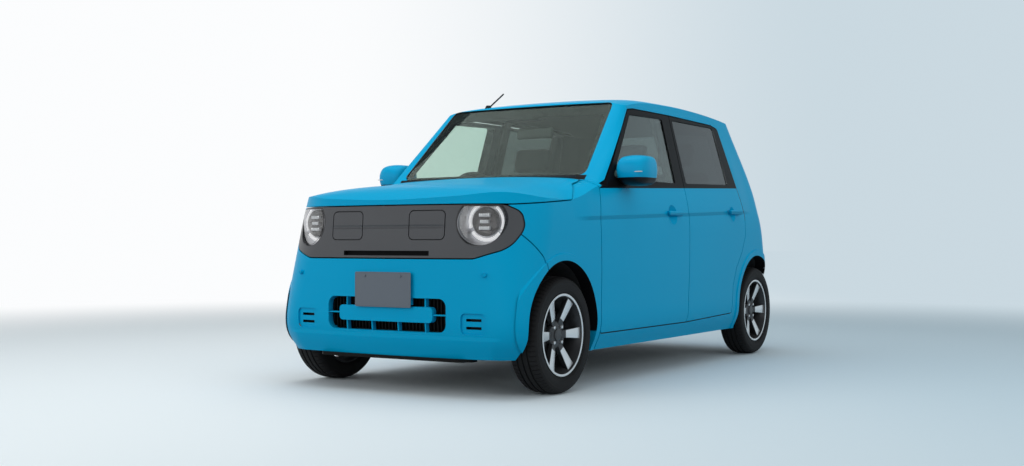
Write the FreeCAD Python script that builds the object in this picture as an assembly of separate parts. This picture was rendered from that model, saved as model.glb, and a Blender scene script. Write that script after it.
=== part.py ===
import FreeCAD, Part
import math
import os
from FreeCAD import Vector

# Driving dimensions of the car, in millimetres; nose at -Y, car's left side at +X, ground at z = 0
FRONT_OVERHANG = 458.0
WHEELBASE = 2520.0
REAR_OVERHANG = 417.0
WIDTH = 1475.0
HEIGHT = 1545.0
TRACK = 1305.0
TYRE_RADIUS = 278.5
TYRE_WIDTH = 155.0
RIM_RADIUS = 190.0
ARCH_RADIUS = 315.0
ARCH_RISE = 36.0
ARCH_DEPTH = 325.0
WALL = 58.0
SHUT_GAP = 6.0
SEAT_GAP = 0.3
STOP_GAP = 0.6
GLASS_INSET = 6.0
GLASS_THICKNESS = 5.0
OUTLINE_ROUND = 100.0
OVERRUN = 60.0

LENGTH = FRONT_OVERHANG + WHEELBASE + REAR_OVERHANG
HALF_WIDTH = WIDTH / 2
FRONT_AXLE = FRONT_OVERHANG - LENGTH / 2
REAR_AXLE = FRONT_AXLE + WHEELBASE
WHEEL_X = TRACK / 2
HALF_GAP = SHUT_GAP / 2
SHEET = GLASS_INSET + GLASS_THICKNESS
OUTSIDE = HALF_WIDTH + OVERRUN
FRONT_END = -LENGTH / 2 - OVERRUN
REAR_END = LENGTH / 2 + OVERRUN

# Body section by level: shares of the height, the half width, the stations and the corner radii
LEVEL_SHARES = [0.117, 0.148, 0.178, 0.259, 0.356, 0.453, 0.55, 0.602, 0.647, 0.712, 0.809, 0.906, 0.984, 1.02]
WIDTH_SHARES = [0.938, 0.966, 0.987, 0.9966, 1.0, 0.9986, 0.991, 0.975, 0.953, 0.918, 0.866, 0.8136, 0.774, 0.757]
NOSE_SHARES = [-0.885, -0.925, -0.955, -0.974, -0.972, -0.966, -0.947, -0.936, -0.923, -0.907, -0.9, -0.9, -0.9,
               -0.9]
TAIL_SHARES = [1.862, 1.922, 1.965, 2.0, 1.996, 1.944, 1.846, 1.779, 1.714, 1.626, 1.486, 1.325, 1.186, 1.12]
FRONT_CORNER_SHARES = [0.2, 0.19, 0.195, 0.225, 0.3, 0.375, 0.43, 0.447, 0.45, 0.447, 0.44, 0.43, 0.42, 0.42]
REAR_CORNER_SHARES = [0.325, 0.325, 0.325, 0.332, 0.346, 0.35, 0.346, 0.339, 0.305, 0.278, 0.278, 0.278, 0.27, 0.27]
FRONT_BOW_SHARE = 0.06
REAR_BOW_SHARE = 0.1
SIDE_BOW_SHARE = 0.014
CORNER_PULL_SHARE = 0.56

# Windscreen by level: share of the half width at its edge, stations of its edge and of its middle
SCREEN_LEVEL_SHARES = [0.602, 0.674, 0.809, 0.938, 1.02]
SCREEN_EDGE_SHARES = [0.83, 0.808, 0.7675, 0.7268, 0.701]
SCREEN_SIDE_SHARES = [0.1367, 0.1812, 0.2677, 0.3506, 0.4038]
SCREEN_MIDDLE_SHARES = [0.1256, 0.17, 0.2538, 0.3331, 0.3839]
SCREEN_SIDE_ROOM = 12.0

# Hood and belt surface: stations down the rows, shares of the half width along them, heights as shares
HOOD_STATION_SHARES = [-1.13, -0.98, -0.9, -0.79, -0.57, -0.13, 0.04, 0.108, 0.16, 0.24, 0.34, 0.49, 0.73, 0.91,
                       1.4, 2.15]
HOOD_ACROSS_SHARES = [0.0, 0.339, 0.61, 0.8136, 0.9356, 1.05]
HOOD_HEIGHT_SHARES = [
    [0.500, 0.497, 0.489, 0.475, 0.458, 0.440],
    [0.580, 0.578, 0.571, 0.558, 0.543, 0.527],
    [0.603, 0.601, 0.595, 0.584, 0.569, 0.552],
    [0.621, 0.619, 0.613, 0.601, 0.586, 0.566],
    [0.640, 0.638, 0.631, 0.616, 0.597, 0.574],
    [0.655, 0.653, 0.645, 0.628, 0.604, 0.575],
    [0.666, 0.664, 0.656, 0.638, 0.608, 0.576],
    [0.677, 0.675, 0.669, 0.655, 0.630, 0.600],
    [0.686, 0.684, 0.679, 0.669, 0.650, 0.622],
    [0.676, 0.675, 0.669, 0.661, 0.648, 0.634],
    [0.655, 0.655, 0.654, 0.653, 0.651, 0.648],
    [0.660, 0.660, 0.660, 0.660, 0.660, 0.660],
    [0.677, 0.677, 0.677, 0.677, 0.677, 0.677],
    [0.688, 0.688, 0.688, 0.688, 0.688, 0.688],
    [0.698, 0.698, 0.698, 0.698, 0.698, 0.698],
    [0.706, 0.706, 0.706, 0.706, 0.706, 0.706],
]
SURFACE_DEPTH_SHARE = 2.0

# Roof surface: heights of its middle line at the stations, and its fall towards the rails
ROOF_STATION_SHARES = [0.05, 0.2141, 0.3212, 0.3562, 0.4323, 0.5514, 0.6506, 0.7696, 0.8887, 0.9681, 1.1667, 1.526,
                       2.1]
ROOF_LINE_SHARES = [0.86, 0.93, 0.9565, 0.9665, 0.987, 0.9974, 1.0, 0.9974, 0.9884, 0.977, 0.961, 0.938, 0.904]
ROOF_ACROSS_SHARES = [0.0, 0.27, 0.54, 0.68, 0.76, 0.815, 0.88, 0.98]
ROOF_FALL_SHARES = [0.0, 0.001, 0.005, 0.011, 0.02, 0.031, 0.06, 0.12]


def station(share):
    if share < 0:
        return FRONT_AXLE + share * FRONT_OVERHANG
    if share <= 1:
        return FRONT_AXLE + share * WHEELBASE
    return REAR_AXLE + (share - 1) * REAR_OVERHANG


def up(share):
    return share * HEIGHT


def across(share):
    return share * HALF_WIDTH


def table_value(levels, values, level):
    for i in range(len(levels) - 1):
        if level <= levels[i + 1]:
            break
    t = (level - levels[i]) / (levels[i + 1] - levels[i])
    return values[i] + (values[i + 1] - values[i]) * t


# Rings of the body: bowed front, rounded corner, gently bowed side, rounded corner, bowed rear
def bezier(points, z):
    curve = Part.BezierCurve()
    curve.setPoles([Vector(x, y, z) for x, y in points])
    return curve.toShape()


def crossing(p, d, q, e):
    den = d[0] * e[1] - d[1] * e[0]
    t = ((q[0] - p[0]) * e[1] - (q[1] - p[1]) * e[0]) / den
    return (p[0] + d[0] * t, p[1] + d[1] * t)


def away(p, q):
    return (q[0] - p[0], q[1] - p[1])


def rounded_corner(before, start, end, after):
    meet = crossing(start, away(before, start), end, away(after, end))
    a = tuple(u + (v - u) * CORNER_PULL_SHARE for u, v in zip(start, meet))
    b = tuple(u + (v - u) * CORNER_PULL_SHARE for u, v in zip(end, meet))
    return [start, a, b, end]


def mirrored(run):
    return [(-x, y) for x, y in reversed(run)]


def closed_ring(front, side, rear, z):
    nose_corner = rounded_corner(front[2], front[3], side[0], side[1])
    tail_corner = rounded_corner(side[2], side[3], rear[0], rear[1])
    runs = [front, nose_corner, side, tail_corner, rear]
    runs += [mirrored(tail_corner), mirrored(side), mirrored(nose_corner)]
    return Part.Wire([bezier(run, z) for run in runs])


def tail_runs(half, tail, radius, start):
    side_bow = SIDE_BOW_SHARE * HALF_WIDTH
    rear_bow = REAR_BOW_SHARE * REAR_OVERHANG
    end = tail - rear_bow - radius
    third = (end - start) / 3
    side = [(half - side_bow, start), (half + side_bow / 3, start + third),
            (half + side_bow / 3, end - third), (half - side_bow, end)]
    x = half - side_bow - radius
    y = tail - rear_bow
    rear = [(x, y), (x / 3, tail + rear_bow / 3), (-x / 3, tail + rear_bow / 3), (-x, y)]
    return side, rear


def bowed_front(x, y, nose):
    bow = y - nose
    return [(-x, y), (-x / 3, nose - bow / 3), (x / 3, nose - bow / 3), (x, y)]


def body_ring(i, inset):
    half = across(WIDTH_SHARES[i]) - inset
    nose = station(NOSE_SHARES[i]) + inset
    tail = station(TAIL_SHARES[i]) - inset
    corner = across(FRONT_CORNER_SHARES[i]) - inset
    y = nose + FRONT_BOW_SHARE * FRONT_OVERHANG
    front = bowed_front(half - SIDE_BOW_SHARE * HALF_WIDTH - corner, y, nose)
    side, rear = tail_runs(half, tail, across(REAR_CORNER_SHARES[i]) - inset, y + corner)
    return closed_ring(front, side, rear, up(LEVEL_SHARES[i]))


def screen_ring(i, inset):
    level = SCREEN_LEVEL_SHARES[i]
    half = across(table_value(LEVEL_SHARES, WIDTH_SHARES, level)) + SCREEN_SIDE_ROOM - inset
    tail = station(table_value(LEVEL_SHARES, TAIL_SHARES, level)) + SCREEN_SIDE_ROOM - inset
    x = across(SCREEN_EDGE_SHARES[i]) - inset
    y = station(SCREEN_SIDE_SHARES[i]) + inset
    front = bowed_front(x, y, station(SCREEN_MIDDLE_SHARES[i]) + inset * math.sqrt(2))
    side, rear = tail_runs(half, tail, across(REAR_CORNER_SHARES[-1]), y + half - x)
    return closed_ring(front, side, rear, up(level))


# Everything under a smooth surface through rows of points
def under_surface(rows):
    surface = Part.BSplineSurface()
    surface.interpolate(rows)
    return surface.toShape().extrude(Vector(0, 0, -SURFACE_DEPTH_SHARE * HEIGHT))


def both_sides(shares, values):
    line = list(zip(shares, values))
    return [(-s, v) for s, v in reversed(line)][:-1] + line


def under_hood(drop):
    rows = []
    for share, heights in zip(HOOD_STATION_SHARES, HOOD_HEIGHT_SHARES):
        line = both_sides(HOOD_ACROSS_SHARES, heights)
        rows.append([Vector(across(s), station(share), up(h) - drop) for s, h in line])
    return under_surface(rows)


def under_roof(drop):
    rows = []
    for share, height in zip(ROOF_STATION_SHARES, ROOF_LINE_SHARES):
        line = both_sides(ROOF_ACROSS_SHARES, ROOF_FALL_SHARES)
        rows.append([Vector(across(s), station(share), up(height - f) - drop) for s, f in line])
    return under_surface(rows)


# The car's outer form, or the same form set in from it all round
SKINS = {}


def skin(inset):
    if inset not in SKINS:
        SKINS[inset] = new_skin(inset)
    return SKINS[inset]


def new_skin(inset):
    block = Part.makeLoft([body_ring(i, inset) for i in range(len(LEVEL_SHARES))], True, False)
    screen = Part.makeLoft([screen_ring(i, inset) for i in range(len(SCREEN_LEVEL_SHARES))], True, False)
    low = block.common(under_hood(inset))
    high = block.common(screen).common(under_roof(inset))
    return low.fuse(high)


def set_back(depth):
    return skin(0).translated(Vector(0, depth, 0))


def front_of(shape, x, z):
    line = Part.makeLine(Vector(x, FRONT_END, z), Vector(x, 0, z))
    return line.common(shape).BoundBox.YMin


# Small helpers for boxes, rods, mirrored pairs and chosen solids
def box(x0, x1, y0, y1, z0, z1):
    return Part.makeBox(x1 - x0, y1 - y0, z1 - z0, Vector(x0, y0, z0))


def rod(radius, start, end):
    path = end - start
    return Part.makeCylinder(radius, path.Length, start, path)


def mirror(shape):
    return shape.mirror(Vector(0, 0, 0), Vector(1, 0, 0))


def pair(shape):
    return Part.makeCompound([shape, mirror(shape)])


def both(shape):
    return [shape, mirror(shape)]


def biggest(shape):
    return max(shape.Solids, key=lambda solid: solid.Volume)


def trimmed(shape, tools):
    for tool in tools:
        shape = shape.cut(tool)
    return shape


def solids_over(shape, share):
    top = biggest(shape).Volume
    kept = [solid for solid in shape.Solids if solid.Volume > share * top]
    return kept[0] if len(kept) == 1 else Part.makeCompound(kept)


# Outlines with rounded corners, extruded across the car or along it
CORNER_LIMIT_SHARE = 0.46
TOUCHING = 0.001


def corner(before, point, after, radius):
    a = before - point
    b = after - point
    half = a.getAngle(b) / 2
    reach = min(radius / math.tan(half), CORNER_LIMIT_SHARE * min(a.Length, b.Length))
    radius = reach * math.tan(half)
    a.normalize()
    b.normalize()
    inward = a + b
    inward.normalize()
    middle = point + inward * (radius / math.sin(half) - radius)
    return point + a * reach, middle, point + b * reach


def rounded_face(points, radii):
    count = len(points)
    corners = []
    for i, point in enumerate(points):
        if radii[i]:
            corners.append(corner(points[i - 1], point, points[(i + 1) % count], radii[i]))
        else:
            corners.append((point, point, point))
    edges = []
    for i, (start, middle, end) in enumerate(corners):
        if radii[i]:
            edges.append(Part.Arc(start, middle, end).toShape())
        following = corners[(i + 1) % count][0]
        if (following - end).Length > TOUCHING:
            edges.append(Part.makeLine(end, following))
    return Part.Face(Part.Wire(edges))


def prism(points, radii, grow, path):
    face = rounded_face(points, radii)
    if grow:
        face = face.makeOffset2D(grow)
    return face.extrude(path)


def side_prism(outline, grow, x0, x1):
    points = [Vector(x0, y, z) for y, z, r in outline]
    return prism(points, [r for y, z, r in outline], grow, Vector(x1 - x0, 0, 0))


def end_prism(outline, grow, y0, y1):
    points = [Vector(x, y0, z) for x, z, r in outline]
    return prism(points, [r for x, z, r in outline], grow, Vector(0, y1 - y0, 0))


def side_outline(table):
    return [(station(s), up(h), r * OUTLINE_ROUND) for s, h, r in table]


def end_outline(table):
    half = [(across(s), up(h), r * OUTLINE_ROUND) for s, h, r in table]
    return half + [(-x, z, r) for x, z, r in reversed(half) if x > 0]


def end_rectangle(x0, x1, z0, z1, r):
    return [(x0, z0, r), (x1, z0, r), (x1, z1, r), (x0, z1, r)]


# Wheel arches, and the raised lips that the panels carry round them
LIP_STAND = 7.0
LIP_BAND = 64.0
LIP_SLOPE = 34.0
LIP_REACH = 60.0


def arch_cut(axle):
    inner = HALF_WIDTH - ARCH_DEPTH
    centre_z = TYRE_RADIUS + ARCH_RISE
    cut = Part.makeCylinder(ARCH_RADIUS, ARCH_DEPTH + OVERRUN, Vector(inner, axle, centre_z), Vector(1, 0, 0))
    leg = box(inner, OUTSIDE, axle - ARCH_RADIUS, axle + ARCH_RADIUS, 0, centre_z)
    return cut.fuse(leg)


def arch_lip(axle):
    start = Vector(HALF_WIDTH + LIP_STAND - LIP_REACH, axle, TYRE_RADIUS + ARCH_RISE)
    wide = ARCH_RADIUS + LIP_BAND
    zone = Part.makeCone(wide, wide - LIP_SLOPE, LIP_REACH, start, Vector(1, 0, 0))
    return skin(-LIP_STAND).common(zone).cut(skin(GLASS_INSET))


def body_shell():
    shell = skin(0).cut(skin(WALL))
    lips = both(arch_lip(FRONT_AXLE)) + both(arch_lip(REAR_AXLE))
    arches = both(arch_cut(FRONT_AXLE)) + both(arch_cut(REAR_AXLE))
    return shell.fuse(lips).cut(arches)


# Doors: outlines in side view as station, height and corner rounding shares, and the frame's inner limit
FRONT_DOOR_SHARES = [(0.1462, 0.17, 0.2), (0.1462, 0.539, 0), (0.1605, 0.638, 0), (0.2, 0.669, 0.1),
                     (0.3728, 0.932, 0.2), (0.4, 0.938, 0), (0.5879, 0.94, 0), (0.5792, 0.664, 0),
                     (0.5661, 0.191, 0), (0.56, 0.17, 0)]
REAR_DOOR_SHARES = [(0.5661, 0.191, 0), (0.5792, 0.664, 0), (0.5879, 0.94, 0), (0.84, 0.936, 0),
                    (0.878, 0.925, 0.2), (0.912, 0.69, 0), (0.929, 0.57, 0.3), (0.925, 0.49, 0.3),
                    (0.9, 0.425, 0), (0.86, 0.36, 0.3), (0.84, 0.29, 0.3), (0.833, 0.182, 0.2), (0.56, 0.17, 0)]
FRONT_WINDOW_SHARES = [(0.232, 0.68, 0.15), (0.3788, 0.914, 0.25), (0.544, 0.9217, 0.15), (0.5363, 0.68, 0.15)]
REAR_WINDOW_SHARES = [(0.596, 0.683, 0.15), (0.6, 0.924, 0.15), (0.8508, 0.9255, 0.2), (0.8568, 0.695, 0.15)]
DOOR_DEPTH_SHARES = [(0.86, 0.0), (0.86, 0.66), (0.68, 0.96)]
HEM_STEP = 14.0


def door_space(grow):
    edge = [(across(s) - grow, up(h), 0) for s, h in DOOR_DEPTH_SHARES]
    top = edge[-1][1]
    return end_prism(edge + [(OUTSIDE, top, 0), (OUTSIDE, 0.0, 0)], 0, FRONT_END, REAR_END)


def door_zone(shares, grow):
    return side_prism(side_outline(shares), grow, 0.0, OUTSIDE).common(door_space(max(grow, 0)))


# The outer leaf of a panel keeps its full outline; what lies deeper is set back so that it swings clear
def hemmed(panel, core):
    return biggest(panel.cut(skin(SHEET).cut(core)))


def door(shell, door_shares, window_shares, handle_shares):
    window = side_prism(side_outline(window_shares), 0, 0.0, OUTSIDE)
    panel = biggest(shell.common(door_zone(door_shares, -HALF_GAP)).cut(window))
    panel = hemmed(panel, door_zone(door_shares, -HALF_GAP - HEM_STEP))
    return door_handle(panel, *handle_shares)


def door_glass(leaf, shares):
    return biggest(leaf.common(side_prism(side_outline(shares), -SEAT_GAP, across(0.5), OUTSIDE)))


# Pull handle: a bar on two feet over a round scoop
HANDLE_LENGTH = 175.0
HANDLE_HEIGHT = 26.0
HANDLE_STAND = 18.0
HANDLE_THICKNESS = 13.0
HANDLE_CHAMFER = 4.0
HANDLE_FOOT = 30.0
HANDLE_ROOT = 24.0
HANDLE_FLUSH_SHARE = 0.987
SCOOP_RADIUS = 58.0
SCOOP_DEPTH = 22.0
SCOOP_FORWARD = 14.0
FRONT_HANDLE_SHARES = (0.4938, 0.568)
REAR_HANDLE_SHARES = (0.851, 0.583)


def door_handle(panel, along, level):
    y, z = station(along), up(level)
    flush = across(HANDLE_FLUSH_SHARE)
    ball = (SCOOP_RADIUS ** 2 + SCOOP_DEPTH ** 2) / (2 * SCOOP_DEPTH)
    scoop = Part.makeSphere(ball, Vector(flush - SCOOP_DEPTH + ball, y - SCOOP_FORWARD, z))
    low, high = z - HANDLE_HEIGHT / 2, z + HANDLE_HEIGHT / 2
    front, back = y - HANDLE_LENGTH / 2, y + HANDLE_LENGTH / 2
    top = flush + HANDLE_STAND
    bar = box(top - HANDLE_THICKNESS, top, front, back, low, high)
    bar = bar.makeChamfer(HANDLE_CHAMFER, bar.Edges)
    feet = []
    for y0 in (front + HANDLE_CHAMFER, back - HANDLE_CHAMFER - HANDLE_FOOT):
        foot = box(flush - HANDLE_ROOT, top - HANDLE_THICKNESS / 2, y0, y0 + HANDLE_FOOT, low, high)
        feet.append(foot)
    return biggest(panel.cut(scoop).fuse([bar] + feet))


# Windscreen opening
SCREEN_FRAME = 12.0
SCREEN_LOW_SHARE = 0.688
SCREEN_HIGH_SHARE = 0.958
SCREEN_ROUND_SHARE = 0.3


def windscreen_zone(grow):
    half = []
    for level in (SCREEN_LOW_SHARE, SCREEN_HIGH_SHARE):
        edge = table_value(SCREEN_LEVEL_SHARES, SCREEN_EDGE_SHARES, level)
        half.append((across(edge) - SCREEN_FRAME, up(level), SCREEN_ROUND_SHARE * OUTLINE_ROUND))
    outline = half + [(-x, z, r) for x, z, r in reversed(half)]
    return end_prism(outline, grow, station(0), station(0.5))


# Hood, and the front wings behind its shut line
HOOD_SHUT_SHARE = 0.5775
HOOD_SHUT_SHARES = [(-1.3, 0.5775, 0), (-0.62, 0.5775, 1.0), (0.04, 0.596, 1.0), (0.108, 0.65, 1.0),
                    (0.142, 0.668, 0)]
HOOD_REAR_SHARE = 0.156
FENDER_SEAM_SHARES = [(-0.66, 0.575, 0), (-0.66, 0.5, 0.5), (-0.4, 0.417, 1.0), (-0.3, 0.35, 1.0), (-0.2, 0.3, 0)]


def hood_zone(grow):
    outline = side_outline(HOOD_SHUT_SHARES)
    rear = station(HOOD_REAR_SHARE)
    outline = outline[:-1] + [(rear, outline[-1][1], 0), (rear, HEIGHT, 0), (outline[0][0], HEIGHT, 0)]
    return side_prism(outline, grow, -OUTSIDE, OUTSIDE)


def fender_zone(grow):
    seam = side_outline(FENDER_SEAM_SHARES)
    edge = side_outline(FRONT_DOOR_SHARES[:3])
    top = up(HOOD_SHUT_SHARES[-1][1])
    outline = [(seam[-1][0], 0.0, 0)] + seam[::-1] + [(seam[0][0], top, 0), (station(HOOD_REAR_SHARE), top, 0)]
    outline += [(y, z, 0) for y, z, r in edge[::-1]] + [(edge[0][0], 0.0, 0)]
    return side_prism(outline, grow, WALL, OUTSIDE)


# Grey front panel between bumper and hood, with a slot, two charge lids and rubber stops
PANEL_SHARES = [(0.0, 0.415, 0), (0.66, 0.415, 1.0), (0.86, 0.446, 1.0), (0.912, 0.506, 1.0), (0.885, 0.556, 0.6),
                (0.8, 0.5775, 0.8), (0.0, 0.5775, 0)]
SLOT_HALF_WIDTH = 251.0
SLOT_HEIGHT = 20.0
SLOT_LEVEL_SHARE = 0.431
SLOT_DEPTH = 24.0
LID_LOW_SHARE = 0.472
LID_HIGH_SHARE = 0.56
LID_NEAR = 138.0
LID_FAR = 332.0
LID_ROUND = 24.0
LID_GAP = 5.0
STOP_RADIUS = 4.0
STOP_ROOT = 4.0
HOOD_STOP_X_SHARE = 0.4
HOOD_STOP_BACK = 30.0


def front_zone(outline, grow):
    return end_prism(outline, grow, FRONT_END, station(-0.4))


def panel_zone(grow):
    return front_zone(end_outline(PANEL_SHARES), grow)


def lid_zone(grow):
    outline = end_rectangle(LID_NEAR, LID_FAR, up(LID_LOW_SHARE), up(LID_HIGH_SHARE), LID_ROUND)
    return front_zone(outline, grow)


def lid_stop():
    x = (LID_NEAR + LID_FAR) / 2
    z = up((LID_LOW_SHARE + LID_HIGH_SHARE) / 2)
    back = front_of(skin(SHEET), x, z)
    return rod(STOP_RADIUS, Vector(x, back + STOP_GAP, z), Vector(x, back + LID_GAP + STOP_ROOT, z))


def hood_stop():
    x, z = across(HOOD_STOP_X_SHARE), up(HOOD_SHUT_SHARE)
    y = front_of(skin(0), x, z - SHUT_GAP) + HOOD_STOP_BACK
    return rod(STOP_RADIUS, Vector(x, y, z - HALF_GAP - STOP_ROOT), Vector(x, y, z + HALF_GAP - STOP_GAP))


def front_panel(shell):
    panel = shell.common(panel_zone(-HALF_GAP)).cut(both(headlamp_zone(0)))
    slot_z = up(SLOT_LEVEL_SHARE)
    slot = end_rectangle(-SLOT_HALF_WIDTH, SLOT_HALF_WIDTH, slot_z - SLOT_HEIGHT / 2, slot_z + SLOT_HEIGHT / 2, 0)
    slot = front_zone(slot, 0).cut(set_back(SLOT_DEPTH))
    recess = lid_zone(LID_GAP / 2).cut(skin(SHEET).translated(Vector(0, LID_GAP, 0)))
    panel = panel.cut([slot] + both(recess))
    return biggest(panel.fuse(both(lid_stop()) + both(hood_stop())))


def charge_lid():
    return biggest(skin(0).common(lid_zone(-LID_GAP / 2)).cut(skin(SHEET)))


# Round headlamps with a flat top: bezel, turned-out bowl, light ring and lens bars
HEADLAMP_RADIUS = 113.0
HEADLAMP_X = 501.0
HEADLAMP_Z_SHARE = 0.5255
HEADLAMP_TOP_SHARE = 0.574
HEADLAMP_TURN = 20.0
BOWL_RADIUS = 103.0
BOWL_FLOOR_RADIUS = 78.0
BOWL_DEPTH = 30.0
RING_RADIUS = 70.0
RING_WALL = 14.0
RING_HEIGHT = 14.0
BAR_LENGTH = 72.0
BAR_HEIGHT = 9.0
BAR_PITCH = 22.0
BARS = 3


def headlamp_zone(grow):
    z = up(HEADLAMP_Z_SHARE)
    radius = HEADLAMP_RADIUS + grow
    start = Vector(HEADLAMP_X, FRONT_END, z)
    tube = rod(radius, start, start + Vector(0, FRONT_OVERHANG, 0))
    top = up(HEADLAMP_TOP_SHARE) + grow
    return tube.common(box(HEADLAMP_X - radius, HEADLAMP_X + radius, start.y, start.y + FRONT_OVERHANG,
                           z - radius, top))


def headlamp(shell):
    z = up(HEADLAMP_Z_SHARE)
    lamp = biggest(shell.common(headlamp_zone(-SEAT_GAP)))
    turn = math.radians(HEADLAMP_TURN)
    outward = Vector(math.sin(turn), -math.cos(turn), 0)
    face = Vector(HEADLAMP_X, front_of(skin(0), HEADLAMP_X, z), z)
    floor = face - outward * BOWL_DEPTH
    spread = (BOWL_RADIUS - BOWL_FLOOR_RADIUS) * (BOWL_DEPTH + OVERRUN) / BOWL_DEPTH
    bowl = Part.makeCone(BOWL_FLOOR_RADIUS, BOWL_FLOOR_RADIUS + spread, BOWL_DEPTH + OVERRUN, floor, outward)
    bowl = bowl.common(headlamp_zone(-(HEADLAMP_RADIUS - BOWL_RADIUS)))
    root = floor - outward * STOP_ROOT
    ring = rod(RING_RADIUS, root, floor + outward * RING_HEIGHT)
    ring = ring.cut(rod(RING_RADIUS - RING_WALL, root - outward * OVERRUN, face))
    fittings = [ring]
    for i in range(BARS):
        bar = box(-BAR_LENGTH / 2, BAR_LENGTH / 2, -RING_HEIGHT, STOP_ROOT, -BAR_HEIGHT / 2, BAR_HEIGHT / 2)
        bar.rotate(Vector(0, 0, 0), Vector(0, 0, 1), HEADLAMP_TURN)
        fittings.append(bar.translated(floor + Vector(0, 0, (i - (BARS - 1) / 2) * BAR_PITCH)))
    return biggest(lamp.cut(bowl).fuse(fittings))


# Front bumper: grille opening with a wide bar on thin ribs, a recess with two slots each side
GRILLE_SHARES = [(0.0, 0.194, 0), (0.472, 0.194, 0.4), (0.472, 0.296, 0.4), (0.0, 0.296, 0)]
GRILLE_BAR_SHARES = [(0.0, 0.2225, 0), (0.373, 0.2225, 0.2), (0.373, 0.2695, 0.2), (0.0, 0.2695, 0)]
GRILLE_BAR_DEPTH = 32.0
RIB_WIDTH = 6.0
RIB_DROP = 6.0
RIB_DEPTH = 26.0
RIB_LAP = 4.0
LOW_RIB_SHARES = (0.105, 0.315)
HIGH_RIB_SHARE = 0.315
RIB_LEVEL_SHARE = 0.246
GRILLE_FIN_DEPTH = 34.0
GRILLE_BACK_DEPTH = 46.0
FIN_PITCH = 20.0
FIN_WIDTH = 5.0
VENT_X_SHARE = 0.666
VENT_Z_SHARE = 0.223
VENT_WIDTH = 130.0
VENT_HEIGHT = 96.0
VENT_ROUND = 22.0
VENT_DEPTH = 8.0
VENT_SLOT_WIDTH = 78.0
VENT_SLOT_HEIGHT = 12.0
VENT_SLOT_PITCH = 36.0
VENT_SLOT_DEPTH = 30.0


def bumper_zone(grow):
    seam = side_outline(FENDER_SEAM_SHARES)
    nose = FRONT_END - OVERRUN
    outline = [(nose, 0.0, 0), (nose, seam[0][1], 0)] + seam + [(seam[-1][0], 0.0, 0)]
    return side_prism(outline, grow, -OUTSIDE, OUTSIDE)


def grille_zone(grow):
    return front_zone(end_outline(GRILLE_SHARES), grow)


def grille_bar():
    bar = skin(0).common(front_zone(end_outline(GRILLE_BAR_SHARES), 0)).cut(set_back(GRILLE_BAR_DEPTH))
    low, high = up(GRILLE_SHARES[0][1]), up(GRILLE_SHARES[-1][1])
    bar_low, bar_high = up(GRILLE_BAR_SHARES[0][1]), up(GRILLE_BAR_SHARES[-1][1])
    half = RIB_WIDTH / 2
    spans = []
    for share in LOW_RIB_SHARES:
        spans.append((across(share) - half, across(share) + half, low - RIB_LAP, bar_low + RIB_LAP))
    x = across(HIGH_RIB_SHARE)
    spans.append((x - half, x + half, bar_high - RIB_LAP, high + RIB_LAP))
    z = up(RIB_LEVEL_SHARE)
    spans.append((across(GRILLE_BAR_SHARES[1][0]) - RIB_LAP, across(GRILLE_SHARES[1][0]) + RIB_LAP, z - half, z + half))
    tools = []
    for x0, x1, z0, z1 in spans:
        tools += both(box(x0, x1, FRONT_END, station(-0.4), z0, z1))
    ribs = set_back(RIB_DROP).common(Part.makeCompound(tools)).cut(set_back(RIB_DROP + RIB_DEPTH))
    return [biggest(bar)] + ribs.Solids


def vent_cuts():
    x, z = across(VENT_X_SHARE), up(VENT_Z_SHARE)
    w, h = VENT_WIDTH / 2, VENT_HEIGHT / 2
    recess = front_zone(end_rectangle(x - w, x + w, z - h, z + h, VENT_ROUND), 0).cut(set_back(VENT_DEPTH))
    slots = []
    for side in (-1, 1):
        level = z + side * VENT_SLOT_PITCH / 2
        w, h = VENT_SLOT_WIDTH / 2, VENT_SLOT_HEIGHT / 2
        slots.append(front_zone(end_rectangle(x - w, x + w, level - h, level + h, h / 2), 0))
    slot_cut = Part.makeCompound(slots).cut(set_back(VENT_SLOT_DEPTH))
    return both(recess) + both(slot_cut)


def front_bumper(shell):
    tools = [panel_zone(HALF_GAP), hood_zone(HALF_GAP), grille_zone(0)] + both(headlamp_zone(SEAT_GAP))
    bumper = biggest(trimmed(shell.common(bumper_zone(-HALF_GAP)), tools + vent_cuts()))
    return biggest(bumper.fuse([plate_seat()] + grille_bar()))


# Black grille behind the opening, with upright fins, and the black lip under the bumper
LIP_HALF_WIDTH = 448.0
LIP_CORNER = 46.0
LIP_LOW = 165.0
LIP_FRONT_SHARE = -0.9
LIP_LENGTH = 90.0


def under_lip():
    front = station(LIP_FRONT_SHARE)
    points = [(-LIP_HALF_WIDTH, front + LIP_CORNER), (LIP_CORNER - LIP_HALF_WIDTH, front),
              (LIP_HALF_WIDTH - LIP_CORNER, front), (LIP_HALF_WIDTH, front + LIP_CORNER),
              (LIP_HALF_WIDTH, front + LIP_LENGTH), (-LIP_HALF_WIDTH, front + LIP_LENGTH)]
    rise = up(LEVEL_SHARES[0]) - SEAT_GAP - LIP_LOW
    return prism([Vector(x, y, LIP_LOW) for x, y in points], [0] * len(points), 0, Vector(0, 0, rise))


def lower_grille(shell):
    back = shell.common(grille_zone(-SEAT_GAP)).common(set_back(GRILLE_FIN_DEPTH))
    plate = back.common(set_back(GRILLE_BACK_DEPTH))
    layer = back.cut(set_back(GRILLE_BACK_DEPTH))
    half = across(GRILLE_SHARES[1][0])
    count = int(half / FIN_PITCH)
    low, high = up(GRILLE_SHARES[0][1]) + FIN_WIDTH, up(GRILLE_SHARES[-1][1]) - FIN_WIDTH
    gaps = []
    for i in range(-count, count):
        x = i * FIN_PITCH
        gaps.append(box(x + FIN_WIDTH, x + FIN_PITCH, FRONT_END, 0, low, high))
    return Part.makeCompound([biggest(layer.cut(gaps).fuse(plate)), under_lip()])


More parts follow.
